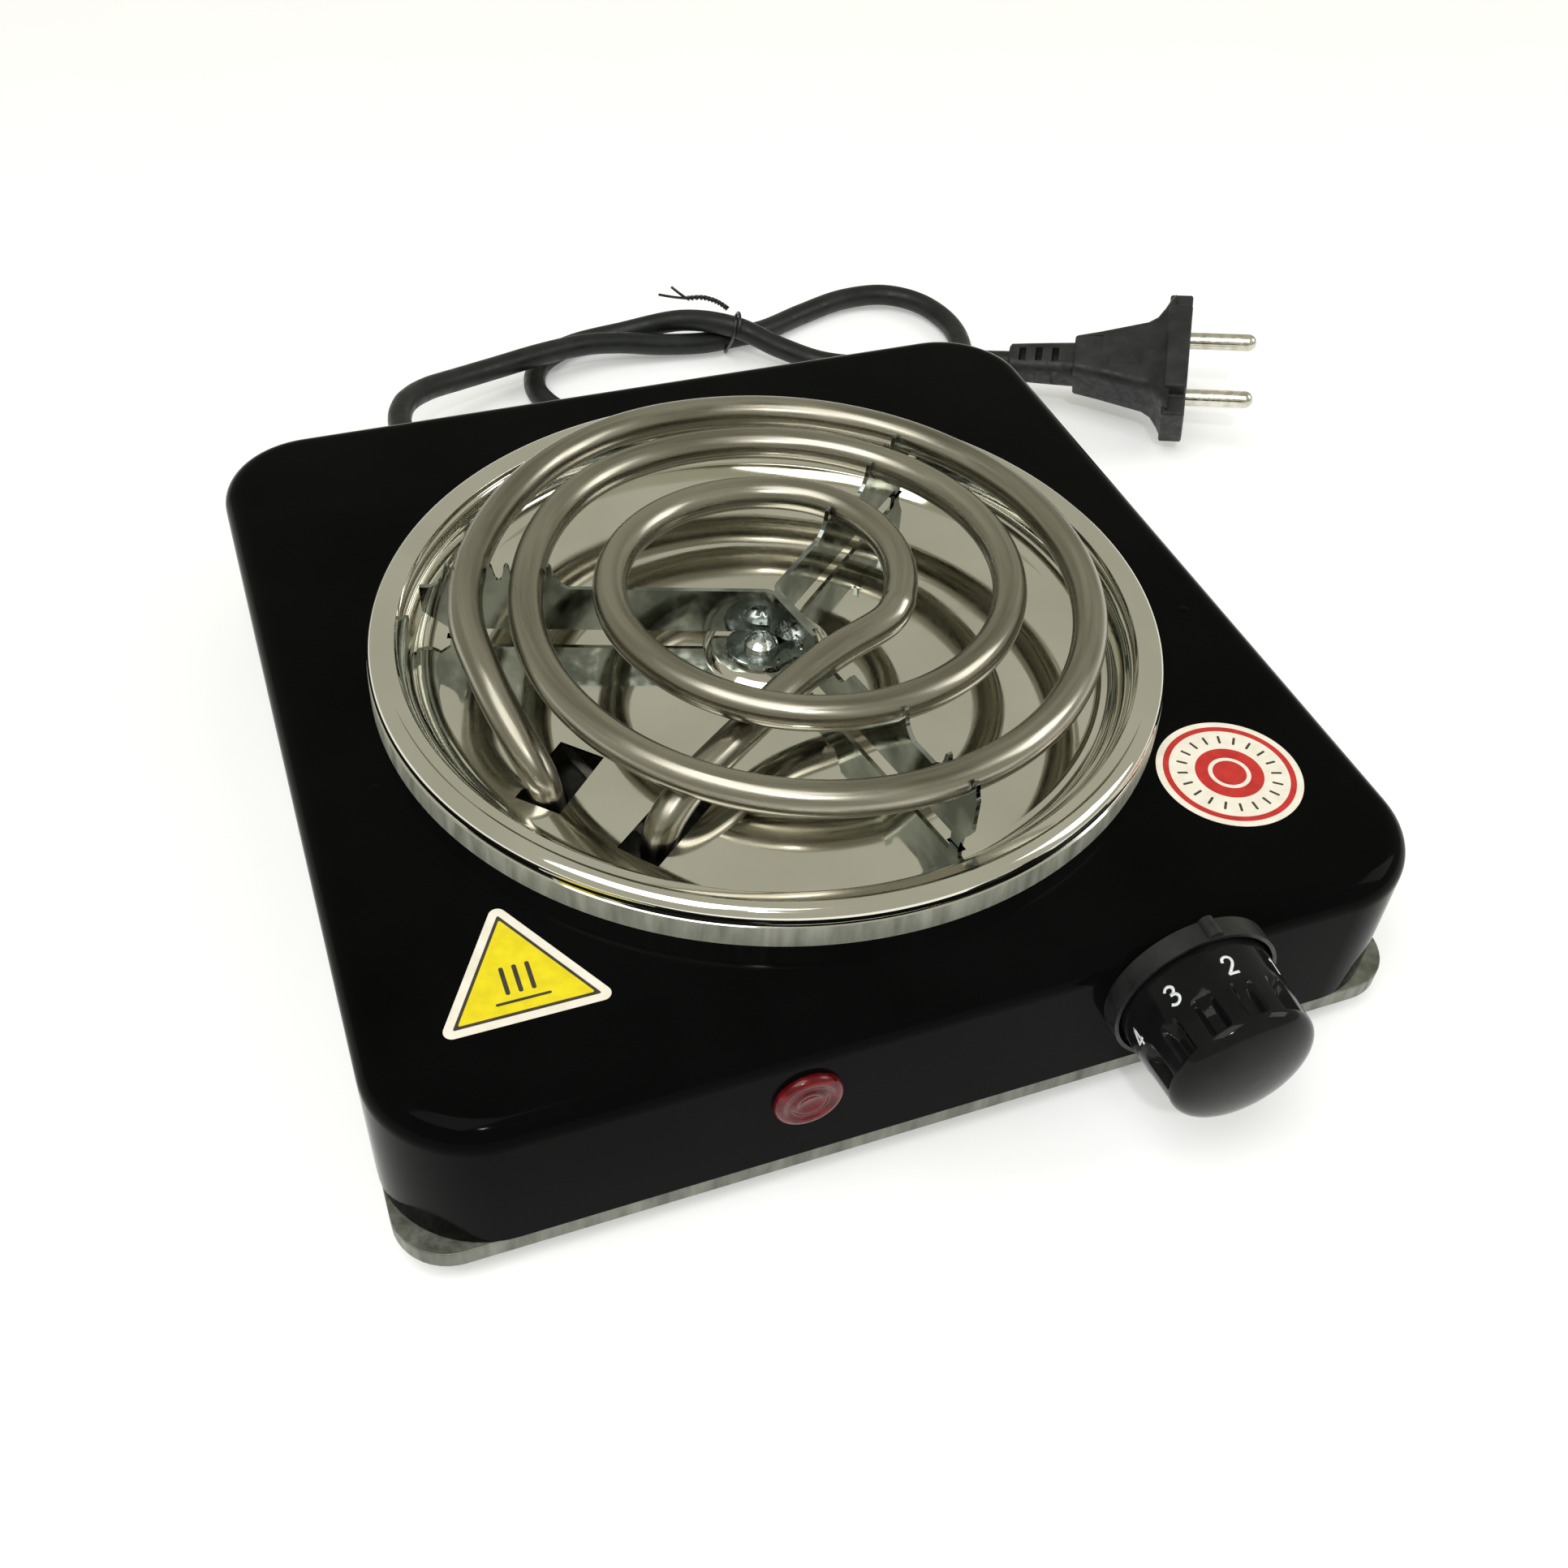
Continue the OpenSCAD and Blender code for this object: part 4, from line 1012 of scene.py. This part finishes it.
# Height of a tooth over the strip, at distances from the side of the tube
TOOTH = ((0, 4.6), (0.25, 5.7), (0.7, 5.9), (1.15, 5.2), (1.35, 3.7), (1.8, 2.3), (2.9, 1), (4.4, 0))


def on_arm(turn, offset, distance):
    """A point of the plan, at a distance out from the pan's axis and an offset to the left of it."""
    a = math.radians(turn)
    out = Vector((math.cos(a), math.sin(a)))
    return out * distance + Vector((-out.y, out.x)) * offset


def ring_crossing(name, turns):
    """Distance along an arm at which it meets a ring of the coil."""
    turn, offset, _ = ARMS[name]
    return math.sqrt(coil_radius(turn - 360 * turns) ** 2 - offset**2)


def tooth_height(x):
    """Height of a toothed strip at distance x from a ring's centre line, on the tooth's side."""
    seat = TUBE_R + 0.15
    if x < seat:
        return TUBE_R - math.sqrt(seat**2 - x**2)
    u = x - seat
    for (u0, h0), (u1, h1) in zip(TOOTH, TOOTH[1:]):
        if u <= u1:
            return h0 + (h1 - h0) * (u - u0) / (u1 - u0)
    return 0


def arm_top(name, start, teeth, dip=None):
    """Upper edge of an arm, outwards from the distance start. A tooth is (turns, side of the ring)."""
    far = ARMS[name][2]
    seats = [(ring_crossing(name, turns), side) for turns, side in teeth]
    stops = {start, far}
    for seat, side in seats:
        stops |= {round(seat + side * (0.22 * i), 2) for i in range(-4, 38)}
    if dip:
        stops |= {dip - 7, dip - 5, dip - 4, dip + 4, dip + 5, dip + 7}
    edge = []
    for d in sorted(s for s in stops if start <= s <= far):
        heights = [tooth_height((d - seat) * side) for seat, side in seats if -1 < (d - seat) * side < 8]
        height = max([h for h in heights if h > 0] or [0])
        if dip and abs(d - dip) < 6.9:
            height = -4 if abs(d - dip) < 4.5 else -3
        edge.append((d, ARM_HIGH + height))
    return edge


def arm_under(name, start):
    """Lower edge of an arm, inwards from its end, with the foot that stands through the pan."""
    foot = FOOT_FROM + FOOT_LEN
    far = ARMS[name][2]
    tab = [(foot, 1), (foot - 0.4, -3.6), (FOOT_FROM + 0.4, -3.6), (FOOT_FROM, ARM_LOW)]
    return [(far, 5.2), *tab, (start, ARM_LOW)]


def strip_plan(first, second):
    """The bend of a strip that runs along one arm and out along another, and its place at a length s."""
    (turn_a, offset_a), (turn_b, offset_b) = first, second
    ua, ub = on_arm(turn_a, 0, 1), on_arm(turn_b, 0, 1)
    gap = on_arm(turn_b, offset_b, 0) - on_arm(turn_a, offset_a, 0)
    det = ua.y * ub.x - ua.x * ub.y
    corner_a = (gap.y * ub.x - gap.x * ub.y) / det
    corner = on_arm(turn_a, offset_a, corner_a)
    corner_b = (corner - on_arm(turn_b, offset_b, 0)).dot(ub)
    bend = 1.9

    def place(s):
        """Point of the strip's middle at length s from the corner, and the unit step across it."""
        t = min(max((s + bend) / (2 * bend), 0), 1)
        start, end = corner + ua * bend, corner + ub * bend
        point = start * (1 - t) ** 2 + corner * (2 * t * (1 - t)) + end * t**2
        ahead = ((corner - start) * (1 - t) + (end - corner) * t).normalized()
        point += ahead * (s - bend * (2 * t - 1))
        return point, Vector((-ahead.y, ahead.x))

    return corner_a, corner_b, bend, place


def bent_strip(name, outline, bend, place):
    """A flat strip cut to an outline of (length, height) and bent round its corner."""
    shape = bmesh.new()
    near, far = ([shape.verts.new((s, y, z)) for s, z in outline] for y in (-STRIP / 2, STRIP / 2))
    shape.faces.new(near)
    shape.faces.new(far[::-1])
    for i in range(len(outline)):
        shape.faces.new((near[i], near[i - 1], far[i - 1], far[i]))
    for i in range(9):
        everything = shape.verts[:] + shape.edges[:] + shape.faces[:]
        cut_at = -bend + 2 * bend * i / 8
        bmesh.ops.bisect_plane(shape, geom=everything, plane_co=(cut_at, 0, 0), plane_no=(1, 0, 0))
    for v in shape.verts:
        p, across = place(v.co.x)
        p = p + across * v.co.y
        v.co = PAN_AXIS + Vector((p.x, p.y, v.co.z)) * MM
    bmesh.ops.recalc_face_normals(shape, faces=shape.faces)
    mesh = bpy.data.meshes.new(name)
    shape.to_mesh(mesh)
    shape.free()
    piece = linked(name, mesh)
    soften(piece, 0.24, sharp=35)
    return piece


def make_supports():
    """Two bent strips that carry the coil: one is the left and the front arm, one the back arm."""
    left, front, back = ARMS["left"], ARMS["front"], ARMS["back"]
    corner_a, corner_b, bend, place = strip_plan(left[:2], front[:2])
    start_a, start_b = corner_a + 0.3, corner_b + 0.3
    left_top = arm_top("left", start_a, [(0, -1), (0, 1), (1, -1), (1, 1)])
    front_top = arm_top("front", start_b, [(0, -1), (0, 1), (1, 1)], dip=21)
    outline = [(corner_a - d, z) for d, z in left_top[::-1]]
    outline += [(d - corner_b, z) for d, z in front_top + arm_under("front", start_b)]
    outline += [(corner_a - d, z) for d, z in arm_under("left", start_a)[::-1]]
    main = bent_strip("support_strip", outline, bend, place)
    dress(main, ROOT, "support_zinc", support_zinc(), stands_for=["coil_support_main"])
    make_tab()

    corner_a, corner_b, bend, place = strip_plan((front[0], front[1] + FLANGE_SHIFT), back[:2])
    start_b = corner_b + 0.3
    back_top = arm_top("back", start_b, [(2, -1), (1, -1), (1, 1), (0, -1)])
    outline = [(corner_a - FLANGE_END, ARM_HIGH)]
    outline += [(d - corner_b, z) for d, z in back_top + arm_under("back", start_b)]
    outline += [(corner_a - FLANGE_END, ARM_LOW)]
    arm = bent_strip("support_arm", outline, bend, place)
    dress(arm, ROOT, "support_zinc", support_zinc(), stands_for=["coil_support_arm"])
    for i, distance in enumerate((3.5, 9)):
        spot = at_pan(turn=front[0]) @ shift(distance, front[1] - STRIP / 2, 6.2)
        face_out = spot @ Matrix.Rotation(math.radians(90), 4, "X")
        mark = lathe(f"clinch_mark_{i + 1}", CLINCH_OUTLINE, 28, face_out)
        dress(mark, ROOT, "support_zinc", support_zinc())


def make_tab():
    """The round screw tab at the foot of the corner between the two arms."""
    tab = lathe("support_tab", TAB_OUTLINE, 72, at_pan(*SCREW_AT))
    cutters = [rod_cutter(2.15, 6, at_pan(*SCREW_AT))]
    for name, side in (("left", -1), ("front", 1)):
        turn, offset, _ = ARMS[name]
        cutters.append(box_cutter((60, 30, 6), at_pan(turn=turn) @ shift(0, offset + side * 15.2)))
    cut(tab, cutters)
    soften(tab, 0.12)
    dress(tab, ROOT, "support_zinc", support_zinc())


# ---- Knob and lamp ----

# The side as distance from the wall and radius, then the front and the hollow back as radius and distance
KNOB_SIDE = ((0.9, 15.2), (12, 14.75), (20.2, 14.3))
KNOB_FRONT = (
    (14.15, 20.7), (13.75, 21.35), (13.1, 21.95), (12.2, 22.5), (11, 23), (9, 23.6), (6, 24.15), (3, 24.43),
    (0.02, 24.5),
)
KNOB_BACK = (
    (0.02, 14.9), (3.02, 14.9), (3.02, 3.9), (5.5, 3.9), (5.5, 8), (12.3, 8), (13.7, 0.9), (14.9, 0.9),
)
KNOB_STEPS = 600
FLUTES = 12
FLUTE_FROM, FLUTE_TO = 12.6, 19.7
FLUTE_DEPTH, FLUTE_WIDTH = 1.9, 4.7
NUMERAL_H, NUMERAL_OUT = 3.7, 9.3
NUMERAL_STEP = 45
# Strokes of each numeral in a box of height 1; the flag says whether a stroke is smooth
GLYPHS = {
    "1": [(False, [(0.12, 0.76), (0.36, 0.98), (0.36, 0)])],
    "2": [
        (True, [(0.05, 0.72), (0.12, 0.92), (0.31, 1), (0.51, 0.92), (0.56, 0.72), (0.45, 0.48),
                (0.05, 0.03)]),
        (False, [(0.03, 0.05), (0.6, 0.05)]),
    ],
    "3": [
        (True, [(0.06, 0.84), (0.18, 0.97), (0.38, 0.98), (0.53, 0.82), (0.46, 0.61), (0.24, 0.54)]),
        (True, [(0.24, 0.54), (0.49, 0.48), (0.59, 0.27), (0.48, 0.07), (0.26, 0.01), (0.04, 0.14)]),
    ],
    "4": [(False, [(0.44, 0), (0.44, 0.98), (0.03, 0.28), (0.64, 0.28)])],
    "5": [
        (False, [(0.54, 0.96), (0.15, 0.96), (0.1, 0.5)]),
        (True, [(0.1, 0.52), (0.32, 0.62), (0.54, 0.51), (0.59, 0.27), (0.46, 0.06), (0.24, 0.01),
                (0.04, 0.13)]),
    ],
}
PEN = 0.15
# Outline of the lamp's lens: radius and height over the wall
LENS_OUTLINE = [
    (0.02, 1.3), (1.9, 1.32), (2.15, 1.6), (2.7, 1.68), (3.1, 1.6), (3.3, 1.3), (4.3, 1.25), (4.55, 1.55),
    (5.1, 1.75), (5.7, 1.65), (6.2, 1.3), (6.5, 0.7), (6.5, 0), (4.9, 0), (4.9, -15), (3.7, -15),
    (3.7, -0.5), (0.02, -0.5),
]


def knob_radius(out):
    """Radius of the knob's side at a distance out from the wall."""
    for (o0, r0), (o1, r1) in zip(KNOB_SIDE, KNOB_SIDE[1:]):
        if out <= o1:
            break
    return r0 + (r1 - r0) * (out - o0) / (o1 - o0)


def ramp(x, low, high):
    """A smooth step from 0 at low to 1 at high."""
    t = min(max((x - low) / (high - low), 0), 1)
    return t * t * (3 - 2 * t)


def flute(turn, out, radius):
    """How deep the grip flutes are at a place on the knob's side. They deepen towards the front."""
    pitch = 2 * math.pi / FLUTES
    across = ((turn + pitch / 2) % pitch - pitch / 2) * radius
    side = 1 - ramp(abs(across), FLUTE_WIDTH * 0.22, FLUTE_WIDTH / 2)
    ends = ramp(out, FLUTE_FROM - 0.6, FLUTE_FROM + 2.4) * (1 - ramp(out, FLUTE_TO - 0.5, FLUTE_TO + 0.1))
    return FLUTE_DEPTH * side * ends


def make_knob():
    """The knob: a tapered skirt, grip pockets and a domed front, on its spindle's bore."""
    place = at_wall(KNOB_X, FRONT_Y, KNOB_Z)
    side = [0.9, 1.1, 2, 4, 6, 8, 10, 12] + [12.4 + 0.16 * i for i in range(9)]
    side += [14, 15, 16, 17, 18, 18.8] + [19.1 + 0.12 * i for i in range(9)]
    rings = [circle(place, r, out, KNOB_STEPS) for r, out in KNOB_BACK]
    for out in side:
        r = knob_radius(out)
        rings.append([round_point(place, r - flute(a, out, r), a, out) for a in full_turn(KNOB_STEPS)])
    rings += [circle(place, r, out, KNOB_STEPS) for r, out in KNOB_FRONT]
    knob = loft("dial_knob", rings)
    dress(knob, KNOB, "knob_plastic", knob_plastic(), stands_for=["control_knob"], sharp=32)
    for i, figure in enumerate("12345"):
        make_numeral(figure, 90 + (i - 1) * NUMERAL_STEP)


def stroke_path(line, is_smooth):
    """A stroke's points, each stretch cut in six, smooth or straight."""
    if is_smooth:
        return smooth_path(line, 6)
    return [a.lerp(b, k / 6) for a, b in zip(line, line[1:]) for k in range(6)] + [line[-1]]


def make_numeral(figure, turn):
    """A printed figure on the knob's side, its top towards the wall."""
    place = at_wall(KNOB_X, FRONT_Y, KNOB_Z)
    verts = []
    faces = []
    for is_smooth, points in GLYPHS[figure]:
        line = stroke_path([Vector(p).to_3d() for p in points], is_smooth)
        for i, p in enumerate(line):
            before, after = line[max(i - 1, 0)], line[min(i + 1, len(line) - 1)]
            ahead = (after - before).normalized()
            normal = Vector((-ahead.y, ahead.x, 0)) * PEN / 2
            for q in (p + normal, p - normal):
                out = NUMERAL_OUT - (q.y - 0.5) * NUMERAL_H
                r = knob_radius(out) + 0.02
                a = math.radians(turn) - (q.x - 0.32) * NUMERAL_H / r
                verts.append(round_point(place, r, a, out))
            if i:
                n = len(verts)
                faces.append((n - 4, n - 3, n - 1, n - 2))
    numeral = new_piece(f"numeral_{figure}", verts, faces)
    ink = numeral.modifiers.new("ink", "SOLIDIFY")
    ink.thickness = 0.05 * MM
    ink.offset = 0
    dress(numeral, KNOB, None, white_print())


def make_lamp():
    """The red lens: a rounded flange with a ringed window, on its hollow barrel."""
    at = middle("indicator_lens")
    lens = lathe("red_lens", LENS_OUTLINE, 96, at_wall(at.x, FRONT_Y, at.z))
    dress(lens, ROOT, "red_lens", lamp_red(), stands_for=["indicator_lens"], sharp=60)


# ---- Labels ----

LAYER = 0.045
TRIANGLE_SIDE, TRIANGLE_CORNER = 31.5, 1.6
TRIANGLE_AT = (-72.6, -74.6)
# Outer and inner radius of the round label's rings, and from where to where its ticks reach
ROUND_RINGS = ((13.3, 12.1), (6.9, 4.3), (3.4, 0.02))
TICK_REACH = (8.7, 10.4)


def film_shape(name, outline, layer, material, slot=None, stands_for=()):
    """A flat printed shape on the cover, some layers up. The outline is in mm."""
    low, high = layer * LAYER * MM, (layer + 1) * LAYER * MM
    rings = [[Vector((x * MM, y * MM, TOP_Z + z)) for x, y in outline] for z in (low, high)]
    return dress(loft(name, rings), ROOT, slot, material, stands_for=stands_for)


def rounded_triangle(x, y, inset):
    """The triangle label's outline, moved inwards."""
    r = TRIANGLE_CORNER
    reach = TRIANGLE_SIDE / math.sqrt(3) - 2 * r
    corner = max(r - inset, 0.25)
    pull = reach - 2 * (inset - r + corner)
    outline = []
    for a in (90, 210, 330):
        c = math.radians(a)
        outline += arc(x + pull * math.cos(c), y + pull * math.sin(c), corner, a - 60, a + 60, 8)
    return outline


def bar(x0, y0, x1, y1, width):
    """A straight stroke with round ends."""
    turn = math.degrees(math.atan2(y1 - y0, x1 - x0))
    return arc(x1, y1, width / 2, turn - 90, turn + 90, 8) + arc(x0, y0, width / 2, turn + 90, turn + 270, 8)


def make_triangle_label():
    """A yellow triangle with a cream margin, a dark border and plain bars."""
    x, y = TRIANGLE_AT
    film_shape("triangle_base", rounded_triangle(x, y, 0), 0, film_cream(), "label_cream", ["surface_label"])
    film_shape("triangle_border", rounded_triangle(x, y, 1.6), 1, film_dark())
    film_shape("triangle_field", rounded_triangle(x, y, 2.2), 2, film_yellow(), "label_yellow")
    for i in (-1, 0, 1):
        upright = bar(x + i * 2.3, y - 2.6, x + i * 2.3, y + 2.8, 0.8)
        film_shape(f"triangle_bar_{i + 2}", upright, 3, film_dark())
    film_shape("triangle_bar_4", bar(x - 4.6, y - 4.6, x + 4.6, y - 4.6, 0.55), 3, film_dark())


def make_round_label():
    """A cream disc with a red ring, plain ticks and a red centre."""
    centre = middle("round_label")
    x, y = centre.x / MM, centre.y / MM
    film_shape("round_base", arc(x, y, 14.7, 0, 356.25, 95), 0, film_cream(), "label_cream", ["round_label"])
    low, high = LAYER, 2 * LAYER
    for i, (outer, inner) in enumerate(ROUND_RINGS):
        section = [(inner, low), (outer, low), (outer, high), (inner, high)]
        place = Matrix.Translation((x * MM, y * MM, TOP_Z))
        band = lathe(f"round_ring_{i + 1}", section, 96, place, closed=True)
        dress(band, ROOT, None, film_red())
    for i in range(20):
        a = math.radians(18 * i)
        (x0, y0), (x1, y1) = ((x + r * math.cos(a), y + r * math.sin(a)) for r in TICK_REACH)
        film_shape(f"round_tick_{i + 1}", bar(x0, y0, x1, y1, 0.5), 1, film_dark())


# ---- Everything ----


def finish_nodes():
    """Gives the nodes that keep their CAD shape their materials, and softens those in sight."""
    for node in sorted(NODE_FINISH):
        slot, finish = NODE_FINISH[node]
        if node in SOFT_NODES:
            refined(node, node + "_shape", SOFT_NODES[node])
        elif node != "plug_pins":
            part = frame["nodes"][node]
            part.data.materials.clear()
            part.data.materials.append(finish())


make_camera()
plug = make_plug()
tie = make_tie()
pins = refined("plug_pins", "round_pins", 0.1)
make_cord()
make_stage()
make_cover()
make_pan()
make_coil()
make_supports()
make_knob()
make_lamp()
make_triangle_label()
make_round_label()
finish_nodes()
